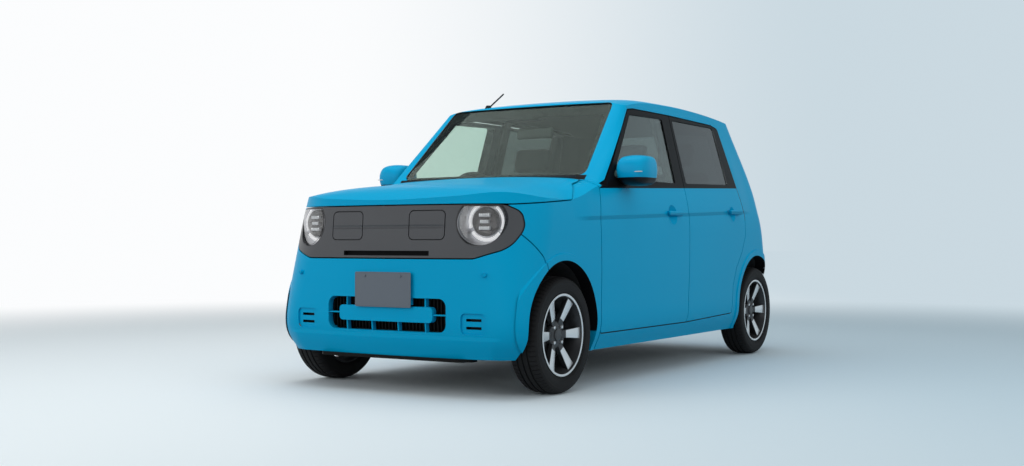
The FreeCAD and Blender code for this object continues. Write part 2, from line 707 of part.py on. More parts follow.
# Blank number plate on its pad
PLATE_WIDTH = 330.0
PLATE_HEIGHT = 165.0
PLATE_THICKNESS = 3.0
PLATE_ROUND = 8.0
PLATE_Z_SHARE = 0.32
PLATE_HOLE_SPACING = 210.0
PLATE_HOLE_RADIUS = 3.5
PLATE_HOLE_DROP = 18.0
PAD_MARGIN = 12.0


def number_plate():
    z = up(PLATE_Z_SHARE)
    front = -LENGTH / 2
    w, h = PLATE_WIDTH / 2, PLATE_HEIGHT / 2
    plate = end_prism(end_rectangle(-w, w, z - h, z + h, PLATE_ROUND), 0, front, front + PLATE_THICKNESS)
    for side in (-1, 1):
        hole = Vector(side * PLATE_HOLE_SPACING / 2, front - OVERRUN, z + h - PLATE_HOLE_DROP)
        plate = plate.cut(rod(PLATE_HOLE_RADIUS, hole, hole + Vector(0, 2 * OVERRUN, 0)))
    return plate


def plate_seat():
    z = up(PLATE_Z_SHARE)
    front = -LENGTH / 2 + PLATE_THICKNESS
    w, h = PLATE_WIDTH / 2 - PAD_MARGIN, PLATE_HEIGHT / 2 - PAD_MARGIN
    return box(-w, w, front, front + GRILLE_FIN_DEPTH, z - h, z + h)


# Tailgate with its window, tail lamps and rear bumper
TAILGATE_SHARES = [(0.0, 0.355, 0), (0.7, 0.355, 0.4), (0.76, 0.4, 0.4), (0.76, 0.68, 1.0), (0.64, 0.943, 0.4),
                   (0.5, 0.99, 0), (0.0, 1.1, 0)]
BACK_WINDOW_SHARES = [(0.0, 0.705, 0), (0.62, 0.705, 0.4), (0.655, 0.74, 0.4), (0.56, 0.91, 0.4), (0.52, 0.93, 0.3),
                      (0.0, 0.935, 0)]
TAILGATE_TOP_SHARE = 1.085
REAR_BUMPER_SHARES = [(1.4, 0.0, 0), (2.3, 0.0, 0), (2.3, 0.355, 0), (1.45, 0.355, 0.4), (1.4, 0.3, 0)]
TAIL_LAMP_SHARES = [(1.42, 0.5, 0.2), (1.5, 0.49, 0), (2.3, 0.49, 0), (2.3, 0.625, 0), (1.5, 0.625, 0),
                    (1.38, 0.605, 0.2)]


def tailgate_zone(grow):
    return end_prism(end_outline(TAILGATE_SHARES), grow, station(TAILGATE_TOP_SHARE) - grow, REAR_END)


def back_window_zone(grow):
    return end_prism(end_outline(BACK_WINDOW_SHARES), grow, REAR_AXLE, REAR_END)


def rear_bumper_zone(grow):
    return side_prism(side_outline(REAR_BUMPER_SHARES), grow, -OUTSIDE, OUTSIDE)


def tail_lamp_zone(grow):
    inner = across(TAILGATE_SHARES[2][0]) + SHUT_GAP - grow
    return side_prism(side_outline(TAIL_LAMP_SHARES), grow, inner, OUTSIDE)


def tailgate(shell):
    panel = biggest(shell.common(tailgate_zone(-HALF_GAP)).cut(back_window_zone(0)))
    return hemmed(panel, tailgate_zone(-HALF_GAP - HEM_STEP))


# Cowl under the windscreen, and the roof between the rails
COWL_WIDTH_SHARE = 0.8
COWL_SHARES = (0.1, 0.23)
COWL_LOW_SHARE = 0.55
ROOF_RAIL_SHARE = 0.735
ROOF_FRONT_SHARE = 0.2


def cowl_zone(grow):
    half = across(COWL_WIDTH_SHARE) + grow
    y0, y1 = station(COWL_SHARES[0]) - grow, station(COWL_SHARES[1]) + grow
    return box(-half, half, y0, y1, up(COWL_LOW_SHARE), up(SCREEN_LOW_SHARE))


def roof_zone():
    half = across(ROOF_RAIL_SHARE)
    y0, y1 = station(ROOF_FRONT_SHARE), station(TAILGATE_TOP_SHARE) - HALF_GAP
    return box(-half, half, y0, y1, up(SCREEN_HIGH_SHARE) - WALL, HEIGHT + OVERRUN)


def door_rooms():
    rooms = both(door_zone(FRONT_DOOR_SHARES, HALF_GAP)) + both(door_zone(REAR_DOOR_SHARES, HALF_GAP))
    return rooms


# Body sides: sill, front post, roof rail, rear quarter
SIDE_FRONT_SHARE = 0.1
SIDE_SCRAP_SHARE = 0.02


def side_frame(shell):
    half = shell.common(box(WALL, OUTSIDE, station(SIDE_FRONT_SHARE), REAR_END, 0, HEIGHT + OVERRUN))
    tools = [door_zone(FRONT_DOOR_SHARES, HALF_GAP), door_zone(REAR_DOOR_SHARES, HALF_GAP), fender_zone(HALF_GAP),
             hood_zone(HALF_GAP), windscreen_zone(0), tailgate_zone(HALF_GAP), rear_bumper_zone(HALF_GAP),
             tail_lamp_zone(0), roof_zone(), cowl_zone(SEAT_GAP)]
    return solids_over(trimmed(half, tools), SIDE_SCRAP_SHARE)


# Centre posts inside the doors, following the slope of the side, each with a rubber buffer for the front door
# and a hollow in its foot that the front edge of the rear door swings into
POST_WIDTH = 70.0
POST_DEPTH = 24.0
POST_ROOM = 16.0
POST_SHARE = 0.576
BUFFER_SIZE = 9.0
BUFFER_LEVEL_SHARE = 0.4
HINGE_SHARES = (0.983, 0.591)
HINGE_ROOM_LOW = 87.0
HINGE_ROOM_HIGH = 50.0
HINGE_ROOM_TOP_SHARE = 0.42


def centre_post():
    y = station(POST_SHARE)
    slab = box(across(0.5), OUTSIDE, y - POST_WIDTH / 2, y + POST_WIDTH / 2, FLOOR_TOP + SEAT_GAP, HEIGHT)
    outside = skin(WALL).translated(Vector(-POST_ROOM, 0, -SEAT_GAP))
    inside = skin(WALL).translated(Vector(-POST_ROOM - POST_DEPTH, 0, 0))
    hinge = Vector(across(HINGE_SHARES[0]), station(HINGE_SHARES[1]), FLOOR_TOP)
    swing = Part.makeCone(HINGE_ROOM_LOW, HINGE_ROOM_HIGH, up(HINGE_ROOM_TOP_SHARE) - FLOOR_TOP, hinge)
    post = biggest(slab.common(outside).cut(inside).cut(swing))
    front, low = y - POST_WIDTH / 2, up(BUFFER_LEVEL_SHARE)
    block = box(across(0.5), OUTSIDE, front, front + BUFFER_SIZE, low, low + BUFFER_SIZE)
    buffer = block.common(skin(WALL).translated(Vector(-SEAT_GAP, 0, 0))).cut(inside)
    return biggest(post.fuse(buffer))


# Floor with firewall, seat riser, load floor and round wheel housings
FLOOR_LOW = 186.0
FLOOR_THICKNESS = 34.0
FLOOR_TOP = FLOOR_LOW + FLOOR_THICKNESS
LINER = 6.0
BULKHEAD_HALF_SHARE = 0.86
FIREWALL_SHARE = 0.15
FIREWALL_TOP_SHARE = 0.63
LOAD_FLOOR_SHARE = 0.37
TAIL_WALL_SHARE = 1.78
TAIL_WALL_LOW_SHARE = 0.24
SEAT_RISER_SHARE = 0.84


def wheel_housing(axle):
    centre = Vector(HALF_WIDTH - ARCH_DEPTH - LINER, axle, TYRE_RADIUS + ARCH_RISE)
    return Part.makeCylinder(ARCH_RADIUS + LINER, ARCH_DEPTH + OVERRUN, centre, Vector(1, 0, 0))


def floor_pan():
    sheet = FLOOR_THICKNESS / 2
    half = across(BULKHEAD_HALF_SHARE)
    wall_y, riser_y = station(FIREWALL_SHARE), station(SEAT_RISER_SHARE)
    load_z = up(LOAD_FLOOR_SHARE)
    slab = box(-OUTSIDE, OUTSIDE, -LENGTH / 2, riser_y, FLOOR_LOW, FLOOR_TOP)
    wall = box(-half, half, wall_y, wall_y + sheet, FLOOR_LOW, up(FIREWALL_TOP_SHARE))
    riser = box(-half, half, riser_y, riser_y + sheet, FLOOR_LOW, load_z)
    load = box(-OUTSIDE, OUTSIDE, riser_y, LENGTH / 2, load_z - sheet, load_z)
    end = box(-OUTSIDE, OUTSIDE, station(TAIL_WALL_SHARE), LENGTH / 2, up(TAIL_WALL_LOW_SHARE), load_z)
    tubs = both(wheel_housing(FRONT_AXLE)) + both(wheel_housing(REAR_AXLE))
    arches = both(arch_cut(FRONT_AXLE)) + both(arch_cut(REAR_AXLE))
    solid = skin(WALL).common(slab.fuse([wall, riser, load, end] + tubs))
    under = box(-OUTSIDE, OUTSIDE, FRONT_END, REAR_END, 0, FLOOR_LOW)
    return biggest(solid.cut(arches + [rear_beam(BEAM_ROOM), under]))


# Battery pack under the floor and the drive unit between the front wheels, as plain blocks
PACK_DROP = 36.0
PACK_HALF_SHARE = 0.62
PACK_SHARES = (0.16, 0.8)
DRIVE_WIDTH = 440.0
DRIVE_LENGTH = 400.0
DRIVE_HEIGHT = 330.0


def battery_pack():
    half = across(PACK_HALF_SHARE)
    return box(-half, half, station(PACK_SHARES[0]), station(PACK_SHARES[1]), FLOOR_LOW - PACK_DROP, FLOOR_LOW)


def drive_unit():
    w, d = DRIVE_WIDTH / 2, DRIVE_LENGTH / 2
    return box(-w, w, FRONT_AXLE - d, FRONT_AXLE + d, FLOOR_TOP, FLOOR_TOP + DRIVE_HEIGHT)


# Front running gear: subframe with lower arms, and knuckles with their struts
KINGPIN_X = 620.0
HUB_RADIUS = 62.0
HUB_FACE_X = 676.0
HUB_ROOM = 24.0
STUB_REACH = 8.0
CARRIER_BACK = 40.0
PIN_RADIUS = 9.0
POST_RADIUS = 18.0
STUB_RADIUS = 13.5
RUNNING_GAP = 0.05
ARM_WIDTH = 40.0
ARM_THICKNESS = 24.0
ARM_ROOT_SHARE = 0.42
ARM_Z = FLOOR_LOW - ARM_THICKNESS / 2 - SEAT_GAP
SUBFRAME_HALF_SHARE = 0.5
SUBFRAME_LENGTH = 300.0
SUBFRAME_DROP = 34.0
STRUT_INSET = 78.0
STRUT_RADIUS = 20.0
STRUT_DROP = 24.0
STRUT_TOP = 596.0
BRIDGE_RADIUS = 16.0
SPRING_SEAT_RADIUS = 27.0
SPRING_SEAT_LOW = 430.0


def knuckle():
    centre = Vector(KINGPIN_X, FRONT_AXLE, TYRE_RADIUS)
    inner = Vector(KINGPIN_X - CARRIER_BACK, FRONT_AXLE, TYRE_RADIUS)
    carrier = rod(HUB_RADIUS, inner, Vector(HUB_FACE_X - HUB_ROOM, FRONT_AXLE, TYRE_RADIUS))
    arm_top = ARM_Z + ARM_THICKNESS / 2
    post = rod(POST_RADIUS, Vector(KINGPIN_X, FRONT_AXLE, arm_top + SEAT_GAP), centre)
    ball = rod(PIN_RADIUS, Vector(KINGPIN_X, FRONT_AXLE, arm_top - ARM_THICKNESS), centre)
    stub = rod(STUB_RADIUS, centre, Vector(HUB_FACE_X + STUB_REACH, FRONT_AXLE, TYRE_RADIUS))
    foot = Vector(KINGPIN_X - STRUT_INSET, FRONT_AXLE, TYRE_RADIUS)
    bridge = rod(BRIDGE_RADIUS, foot, inner)
    strut = rod(STRUT_RADIUS, foot - Vector(0, 0, STRUT_DROP), Vector(foot.x, foot.y, STRUT_TOP))
    seat_disc = rod(SPRING_SEAT_RADIUS, Vector(foot.x, foot.y, SPRING_SEAT_LOW), Vector(foot.x, foot.y, STRUT_TOP))
    return biggest(carrier.fuse([post, ball, stub, bridge, strut, seat_disc]))


def front_suspension():
    half = across(SUBFRAME_HALF_SHARE)
    beam = box(-half, half, FRONT_AXLE - SUBFRAME_LENGTH / 2, FRONT_AXLE + SUBFRAME_LENGTH / 2,
               FLOOR_LOW - SUBFRAME_DROP, FLOOR_LOW)
    arm = box(across(ARM_ROOT_SHARE), KINGPIN_X + ARM_WIDTH / 2, FRONT_AXLE - ARM_WIDTH / 2,
              FRONT_AXLE + ARM_WIDTH / 2, ARM_Z - ARM_THICKNESS / 2, ARM_Z + ARM_THICKNESS / 2)
    hole = Vector(KINGPIN_X, FRONT_AXLE, 0)
    arm = arm.cut(rod(PIN_RADIUS + RUNNING_GAP, hole, hole + Vector(0, 0, HEIGHT)))
    return biggest(beam.fuse(both(arm)))


# Rear axle: a cross beam on trailing arms, with springs and hubs
BEAM_BACK = 190.0
BEAM_DROP = 20.0
BEAM_RADIUS = 38.0
BEAM_ROOM = 10.0
BEAM_REACH_SHARE = 0.66
TRAILING_SHARES = (0.62, 0.7)
TRAILING_FRONT = 304.0
SPRING_RADIUS = 45.0
SPRING_FORWARD = 60.0


def rear_beam(grow):
    reach = across(BEAM_REACH_SHARE)
    y, z = REAR_AXLE - BEAM_BACK, TYRE_RADIUS - BEAM_DROP
    return rod(BEAM_RADIUS + grow, Vector(-reach, y, z), Vector(reach, y, z))


def rear_axle():
    x = across(BEAM_REACH_SHARE)
    hub = Vector(x, REAR_AXLE, TYRE_RADIUS)
    arm = box(across(TRAILING_SHARES[0]), across(TRAILING_SHARES[1]), REAR_AXLE - TRAILING_FRONT,
              REAR_AXLE + HUB_RADIUS, TYRE_RADIUS - BEAM_DROP - BEAM_RADIUS, TYRE_RADIUS + BEAM_DROP)
    drum = rod(HUB_RADIUS, hub, Vector(HUB_FACE_X - HUB_ROOM, REAR_AXLE, TYRE_RADIUS))
    stub = rod(STUB_RADIUS, hub, Vector(HUB_FACE_X + STUB_REACH, REAR_AXLE, TYRE_RADIUS))
    reach = SPRING_FORWARD + SPRING_RADIUS
    top = TYRE_RADIUS + ARCH_RISE + math.sqrt(ARCH_RADIUS ** 2 - reach ** 2) - SEAT_GAP
    foot = Vector(x, REAR_AXLE - SPRING_FORWARD, TYRE_RADIUS)
    spring = rod(SPRING_RADIUS, foot, Vector(foot.x, foot.y, top))
    solids = []
    for piece in (arm, drum, stub, spring):
        solids += both(piece)
    return biggest(rear_beam(0).fuse(solids))


# Tyres and six-spoke rims
BEAD_SHARE = 0.86
TREAD_SHARE = 0.74
RIM_WALL = 8.0
RIM_LIP = 5.0
SPOKES = 6
SPOKE_ROOT_WIDTH = 40.0
SPOKE_TIP_WIDTH = 56.0
SPOKE_THICKNESS = 26.0
SPOKE_SET = 12.0
HUB_DEPTH = 40.0
HUB_SET = 20.0


def tyre(x, y):
    half = TYRE_WIDTH / 2
    profile = [(half, RIM_RADIUS), (TREAD_SHARE * half, TYRE_RADIUS)]
    profile += [(-w, r) for w, r in reversed(profile)]
    points = [Vector(x + w, y, TYRE_RADIUS + r) for w, r in profile]
    face = rounded_face(points, [0] * len(points))
    return face.revolve(Vector(x, y, TYRE_RADIUS), Vector(1, 0, 0), 360)


def spoke(edge):
    root, tip = SPOKE_ROOT_WIDTH / 2, SPOKE_TIP_WIDTH / 2
    points = [Vector(0, -root, 0), Vector(0, root, 0), Vector(0, tip, edge), Vector(0, -tip, edge)]
    return prism(points, [0] * len(points), 0, Vector(SPOKE_THICKNESS, 0, 0))


def rim(y):
    centre = Vector(WHEEL_X, y, TYRE_RADIUS)
    outward = Vector(1, 0, 0)
    edge = RIM_RADIUS - SEAT_GAP
    lip = BEAD_SHARE * TYRE_WIDTH / 2
    barrel = rod(edge, centre - outward * lip, centre + outward * lip)
    bore = rod(edge - RIM_WALL, centre - outward * OUTSIDE, centre + outward * OUTSIDE)
    start = Vector(HUB_FACE_X - HUB_SET, y, TYRE_RADIUS)
    hub = rod(HUB_RADIUS, start, start + outward * HUB_DEPTH)
    blades = []
    for i in range(SPOKES):
        blade = spoke(edge - RIM_WALL / 2)
        blade.rotate(Vector(0, 0, 0), outward, i * 360.0 / SPOKES + 90.0)
        blades.append(blade.translated(start + outward * SPOKE_SET))
    solid = barrel.cut(bore).fuse([hub] + blades)
    return biggest(solid.cut(rod(STUB_RADIUS + RUNNING_GAP, centre, start + outward * (HUB_DEPTH - RIM_LIP))))


# Dashboard with its centre leg and the steering column; steering wheel for a driver on the right
DASH_SHARES = [(0.162, 0.44, 0), (0.26, 0.44, 0.4), (0.265, 0.52, 0.4), (0.295, 0.56, 0.3), (0.3, 0.625, 0.3),
               (0.27, 0.645, 0.3), (0.19, 0.65, 0), (0.162, 0.64, 0)]
DASH_HALF_SHARE = 0.83
LEG_HALF_SHARE = 0.1
LEG_SHARES = (0.165, 0.25)
LEG_TOP_SHARE = 0.46
STEERING_RADIUS = 178.0
STEERING_GRIP = 14.0
STEERING_TILT = 24.0
GRIP_SIDES = 5
STEERING_DISH = 60.0
STEERING_HUB_RADIUS = 48.0
STEERING_HUB_FRONT = 5.0
STEERING_SPOKE_RADIUS = 12.0
STEERING_SPOKE_BACK = 10.0
COLUMN_RADIUS = 32.0
COLUMN_LENGTH = 230.0
DRIVER_X_SHARE = -0.44
STEERING_PLACE_SHARES = (0.345, 0.61)


def steering_place():
    centre = Vector(across(DRIVER_X_SHARE), station(STEERING_PLACE_SHARES[0]), up(STEERING_PLACE_SHARES[1]))
    tilt = math.radians(STEERING_TILT)
    return centre, Vector(0, math.cos(tilt), math.sin(tilt))


def dashboard():
    half = across(DASH_HALF_SHARE)
    body = skin(WALL).common(side_prism(side_outline(DASH_SHARES), 0, -half, half))
    centre, axis = steering_place()
    column = rod(COLUMN_RADIUS, centre - axis * COLUMN_LENGTH, centre - axis * STEERING_DISH)
    half = across(LEG_HALF_SHARE)
    leg = box(-half, half, station(LEG_SHARES[0]), station(LEG_SHARES[1]), FLOOR_TOP, up(LEG_TOP_SHARE))
    return biggest(body.fuse([column, leg]))


def steering_wheel():
    centre, axis = steering_place()
    corners = [2 * math.pi * (i + 0.5) / GRIP_SIDES for i in range(GRIP_SIDES)]
    section = [Vector(STEERING_RADIUS + STEERING_GRIP * math.cos(a), 0, STEERING_GRIP * math.sin(a)) for a in corners]
    ring = rounded_face(section, [0] * GRIP_SIDES).revolve(Vector(0, 0, 0), Vector(0, 0, 1), 360)
    ring.Placement = FreeCAD.Placement(centre, FreeCAD.Rotation(Vector(0, 0, 1), axis))
    hub = rod(STEERING_HUB_RADIUS, centre - axis * (STEERING_DISH - SEAT_GAP), centre + axis * STEERING_HUB_FRONT)
    down = Vector(0, axis.z, -axis.y)
    spokes = []
    for way in (Vector(1, 0, 0), Vector(-1, 0, 0), down):
        spokes.append(rod(STEERING_SPOKE_RADIUS, centre - axis * STEERING_SPOKE_BACK, centre + way * STEERING_RADIUS))
    return biggest(ring.fuse([hub] + spokes))


# Front seats on rails and a rear bench
SEAT_WIDTH = 470.0
CUSHION_LENGTH = 500.0
CUSHION_THICKNESS = 130.0
BACK_HEIGHT = 560.0
BACK_THICKNESS = 110.0
BACK_LEAN = 16.0
SEAT_ROUND = 30.0
HEADREST_WIDTH = 260.0
HEADREST_DEPTH = 90.0
HEADREST_HEIGHT = 170.0
HEADREST_LIFT = 20.0
HEADREST_SET = 10.0
HEADREST_PIN_RADIUS = 6.0
HEADREST_PIN_ROOT = 60.0
RAIL_WIDTH = 40.0
RAIL_LENGTH = 400.0
RAIL_SPREAD = 360.0
RAIL_LAP = 20.0
FRONT_SEAT_SHARES = (0.44, 0.33)
REAR_SEAT_SHARES = (0.77, 0.37)
BENCH_HALF_SHARE = 0.7
BENCH_FOOT_LENGTH = 180.0


def seat_back(width, y, z, rests):
    top = z + BACK_HEIGHT
    back = box(-width / 2, width / 2, y, y + BACK_THICKNESS, z, top)
    solids = [back.makeChamfer(SEAT_ROUND, back.Edges)]
    low = top + HEADREST_LIFT
    for x in rests:
        y0 = y + HEADREST_SET
        head = box(x - HEADREST_WIDTH / 2, x + HEADREST_WIDTH / 2, y0, y0 + HEADREST_DEPTH, low, low + HEADREST_HEIGHT)
        solids.append(head.makeChamfer(SEAT_ROUND, head.Edges))
        for side in (-1, 1):
            foot = Vector(x + side * HEADREST_WIDTH / 5, y0 + HEADREST_DEPTH / 2, top - HEADREST_PIN_ROOT)
            solids.append(rod(HEADREST_PIN_RADIUS, foot, foot + Vector(0, 0, 2 * HEADREST_PIN_ROOT)))
    return solids


def seat(width, y, z, rests):
    half, length = width / 2, CUSHION_LENGTH / 2
    base = box(-half, half, y - length, y + length, z, z + CUSHION_THICKNESS)
    back_y = y + length - BACK_THICKNESS
    solids = seat_back(width, back_y, z + CUSHION_THICKNESS / 2, rests)
    pivot = Vector(0, back_y + BACK_THICKNESS / 2, z + CUSHION_THICKNESS)
    for solid in solids:
        solid.rotate(pivot, Vector(1, 0, 0), -BACK_LEAN)
    return base.makeChamfer(SEAT_ROUND, base.Edges).fuse(solids)


def front_seats():
    y, z = station(FRONT_SEAT_SHARES[0]), up(FRONT_SEAT_SHARES[1])
    rails = []
    for side in (-1, 1):
        x = side * RAIL_SPREAD / 2
        rails.append(box(x - RAIL_WIDTH / 2, x + RAIL_WIDTH / 2, y - RAIL_LENGTH / 2, y + RAIL_LENGTH / 2,
                         FLOOR_TOP, z + RAIL_LAP))
    one = biggest(seat(SEAT_WIDTH, y, z, [0.0]).fuse(rails))
    return pair(one.translated(Vector(-across(DRIVER_X_SHARE), 0, 0)))


def rear_seat():
    y, z = station(REAR_SEAT_SHARES[0]), up(REAR_SEAT_SHARES[1])
    half = across(BENCH_HALF_SHARE)
    bench = seat(2 * half, y, z, [-half / 2, half / 2])
    foot = box(RAIL_LAP - half, half - RAIL_LAP, y - BENCH_FOOT_LENGTH, station(SEAT_RISER_SHARE) - SEAT_GAP,
               FLOOR_TOP, z + RAIL_LAP)
    return biggest(bench.fuse(foot))


# Door mirrors: a cap tapering to the front, on a short arm
MIRROR_WIDTH = 152.0
MIRROR_DEPTH = 112.0
MIRROR_HEIGHT = 122.0
MIRROR_CHAMFER = 34.0
MIRROR_X = 700.0
MIRROR_PLACE_SHARES = (0.267, 0.711)
MIRROR_SECTION_SHARES = [(-0.5, 0.62), (-0.3, 0.9), (0.1, 1.0), (0.5, 0.97)]
MIRROR_ARM_LENGTH = 44.0
MIRROR_ARM_DROP = 22.0
MIRROR_ARM_ROOT_SHARE = 0.88


def mirror_section(centre, along, size):
    w, h = MIRROR_WIDTH / 2 * size, MIRROR_HEIGHT / 2 * size
    c = MIRROR_CHAMFER * size
    y = centre.y + along * MIRROR_DEPTH
    points = [(w - c, -h), (w, c - h), (w, h - c), (w - c, h), (c - w, h), (-w, h - c), (-w, c - h), (c - w, -h)]
    points = [Vector(centre.x + x, y, centre.z + z) for x, z in points]
    return Part.makePolygon(points + [points[0]])


def mirror_part(panel, pane):
    centre = Vector(MIRROR_X + MIRROR_WIDTH / 2, station(MIRROR_PLACE_SHARES[0]), up(MIRROR_PLACE_SHARES[1]))
    head = Part.makeLoft([mirror_section(centre, a, s) for a, s in MIRROR_SECTION_SHARES], True, True)
    low = centre.z - MIRROR_HEIGHT / 2
    arm = box(across(MIRROR_ARM_ROOT_SHARE), centre.x, centre.y - MIRROR_ARM_LENGTH / 2,
              centre.y + MIRROR_ARM_LENGTH / 2, low - MIRROR_ARM_DROP, low + MIRROR_ARM_DROP)
    return biggest(trimmed(head.fuse(arm), [panel, pane]))


# Short roof antenna, leaning back
ANTENNA_SHARES = (-0.423, 0.3744)
ANTENNA_FOOT_SHARE = 0.968
ANTENNA_REACH = 165.0
ANTENNA_RISE = 100.0
ANTENNA_RADIUS = 4.5
ANTENNA_BASE_RADIUS = 26.0
ANTENNA_BASE_TOP_RADIUS = 12.0
ANTENNA_BASE_HEIGHT = 28.0


def antenna():
    foot = Vector(across(ANTENNA_SHARES[0]), station(ANTENNA_SHARES[1]), up(ANTENNA_FOOT_SHARE))
    base = Part.makeCone(ANTENNA_BASE_RADIUS, ANTENNA_BASE_TOP_RADIUS, ANTENNA_BASE_HEIGHT, foot - Vector(0, 0, SHEET))
    mast = rod(ANTENNA_RADIUS, foot, foot + Vector(0, ANTENNA_REACH, ANTENNA_RISE))
    return biggest(base.fuse(mast).cut(skin(0)))


def front_parts(shell):
    nose = shell.common(box(-OUTSIDE, OUTSIDE, FRONT_END, station(COWL_SHARES[1]), 0, HEIGHT))
    fender_tools = [hood_zone(HALF_GAP), panel_zone(HALF_GAP), headlamp_zone(SEAT_GAP), cowl_zone(SEAT_GAP)]
    cowl_tools = [hood_zone(HALF_GAP), windscreen_zone(0)] + door_rooms()[:2]
    lid = charge_lid()
    return {
        "hood": biggest(nose.common(hood_zone(-HALF_GAP))),
        "front_panel": front_panel(nose),
        "charge_lid_left": lid,
        "charge_lid_right": mirror(lid),
        "headlamps": pair(headlamp(nose)),
        "front_bumper": front_bumper(nose),
        "lower_grille": lower_grille(nose),
        "number_plate": number_plate(),
        "fenders": pair(biggest(trimmed(nose.common(fender_zone(-HALF_GAP)), fender_tools))),
        "cowl": biggest(trimmed(shell.common(cowl_zone(0)), cowl_tools)),
    }


def body_parts(shell, leaf):
    roof_tools = [windscreen_zone(SEAT_GAP), tailgate_zone(HALF_GAP)] + door_rooms()
    roof = trimmed(shell.common(roof_zone()), roof_tools)
    bumper = shell.common(rear_bumper_zone(-HALF_GAP)).cut(tailgate_zone(HALF_GAP))
    lamp = shell.common(tail_lamp_zone(-SEAT_GAP)).cut(tailgate_zone(HALF_GAP))
    return {
        "roof": biggest(roof),
        "rear_bumper": biggest(bumper),
        "tail_lamps": pair(biggest(lamp)),
        "tailgate": tailgate(shell),
        "tailgate_glass": biggest(leaf.common(back_window_zone(-SEAT_GAP))),
        "windscreen": biggest(leaf.common(windscreen_zone(-SEAT_GAP))),
        "side_frames": pair(side_frame(shell)),
        "centre_posts": pair(centre_post()),
    }


def door_parts(shell, leaf):
    parts = {}
    rows = (("front", FRONT_DOOR_SHARES, FRONT_WINDOW_SHARES, FRONT_HANDLE_SHARES),
            ("rear", REAR_DOOR_SHARES, REAR_WINDOW_SHARES, REAR_HANDLE_SHARES))
    for row, outline, window, handle in rows:
        panel = door(shell, outline, window, handle)
        pane = door_glass(leaf, window)
        parts[f"{row}_door_left"] = panel
        parts[f"{row}_door_right"] = mirror(panel)
        parts[f"{row}_glass_left"] = pane
        parts[f"{row}_glass_right"] = mirror(pane)
    side_mirror = mirror_part(parts["front_door_left"], parts["front_glass_left"])
    parts["mirror_left"] = side_mirror
    parts["mirror_right"] = mirror(side_mirror)
    return parts


def running_gear():
    one = knuckle()
    parts = {"knuckle_left": one, "knuckle_right": mirror(one), "front_suspension": front_suspension(),
             "rear_axle": rear_axle(), "battery_pack": battery_pack(), "drive_unit": drive_unit()}
    for row, y in (("front", FRONT_AXLE), ("rear", REAR_AXLE)):
        wheel = rim(y)
        parts[f"{row}_rim_left"] = wheel
        parts[f"{row}_rim_right"] = mirror(wheel)
        parts[f"{row}_tyre_left"] = tyre(WHEEL_X, y)
        parts[f"{row}_tyre_right"] = tyre(-WHEEL_X, y)
    return parts


def build():
    os.makedirs("parts", exist_ok=True)
    shell = body_shell()
    leaf = skin(GLASS_INSET).cut(skin(SHEET))
    parts = {**front_parts(shell), **body_parts(shell, leaf), **door_parts(shell, leaf), **running_gear()}
    parts["floor_pan"] = floor_pan()
    parts["dashboard"] = dashboard()
    parts["steering_wheel"] = steering_wheel()
    parts["front_seats"] = front_seats()
    parts["rear_seat"] = rear_seat()
    parts["antenna"] = antenna()
    for name, shape in sorted(parts.items()):
        print(f"{name:18s} solids {len(shape.Solids)} valid {shape.isValid()} litres {shape.Volume / 1e6:.2f}")
        shape.exportStep(f"parts/{name}.step")


build()
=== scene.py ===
import math

import bpy
from mathutils import Matrix, Vector


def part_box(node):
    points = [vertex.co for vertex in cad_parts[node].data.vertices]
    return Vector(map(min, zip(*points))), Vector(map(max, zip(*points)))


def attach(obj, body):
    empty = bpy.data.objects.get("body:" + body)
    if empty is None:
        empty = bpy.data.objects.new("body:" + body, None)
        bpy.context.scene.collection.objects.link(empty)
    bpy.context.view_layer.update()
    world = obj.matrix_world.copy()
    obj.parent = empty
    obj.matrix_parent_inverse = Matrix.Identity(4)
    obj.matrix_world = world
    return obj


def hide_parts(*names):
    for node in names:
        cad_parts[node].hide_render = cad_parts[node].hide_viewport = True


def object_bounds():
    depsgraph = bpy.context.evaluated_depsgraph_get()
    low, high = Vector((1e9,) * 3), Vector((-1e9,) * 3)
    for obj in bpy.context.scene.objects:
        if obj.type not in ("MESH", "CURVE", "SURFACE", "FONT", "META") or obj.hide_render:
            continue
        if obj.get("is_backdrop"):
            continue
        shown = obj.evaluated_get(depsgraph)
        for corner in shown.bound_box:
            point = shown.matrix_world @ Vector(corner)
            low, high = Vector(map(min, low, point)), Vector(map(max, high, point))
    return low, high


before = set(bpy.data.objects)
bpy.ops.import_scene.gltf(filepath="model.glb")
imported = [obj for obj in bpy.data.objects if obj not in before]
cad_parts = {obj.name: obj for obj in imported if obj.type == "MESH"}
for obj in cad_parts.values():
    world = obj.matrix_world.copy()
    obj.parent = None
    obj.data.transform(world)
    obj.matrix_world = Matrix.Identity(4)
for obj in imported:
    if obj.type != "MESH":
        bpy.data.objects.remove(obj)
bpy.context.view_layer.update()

# Photographer's place: the car is seen from its front left corner, at the height of the headlamps,
# through a 43 mm lens, level to half a degree. All places in this file are in metres.
CAMERA_PLACE = (3.5894, -6.3203, 0.7183)
CAMERA_TURN = math.radians(31.825)
CAMERA_RISE = math.radians(0.42)
CAMERA_LENS = 43.34
CAMERA_SENSOR = 36.0

camera_data = bpy.data.cameras.new("photo_camera")
camera_data.lens = CAMERA_LENS
camera_data.sensor_width = CAMERA_SENSOR
camera_data.clip_end = 200.0
camera = bpy.data.objects.new("photo_camera", camera_data)
camera.location = CAMERA_PLACE
camera.rotation_euler = (math.radians(90.0) + CAMERA_RISE, 0.0, CAMERA_TURN)
bpy.context.scene.collection.objects.link(camera)
bpy.context.scene.camera = camera
bpy.context.scene.view_settings.view_transform = "Standard"

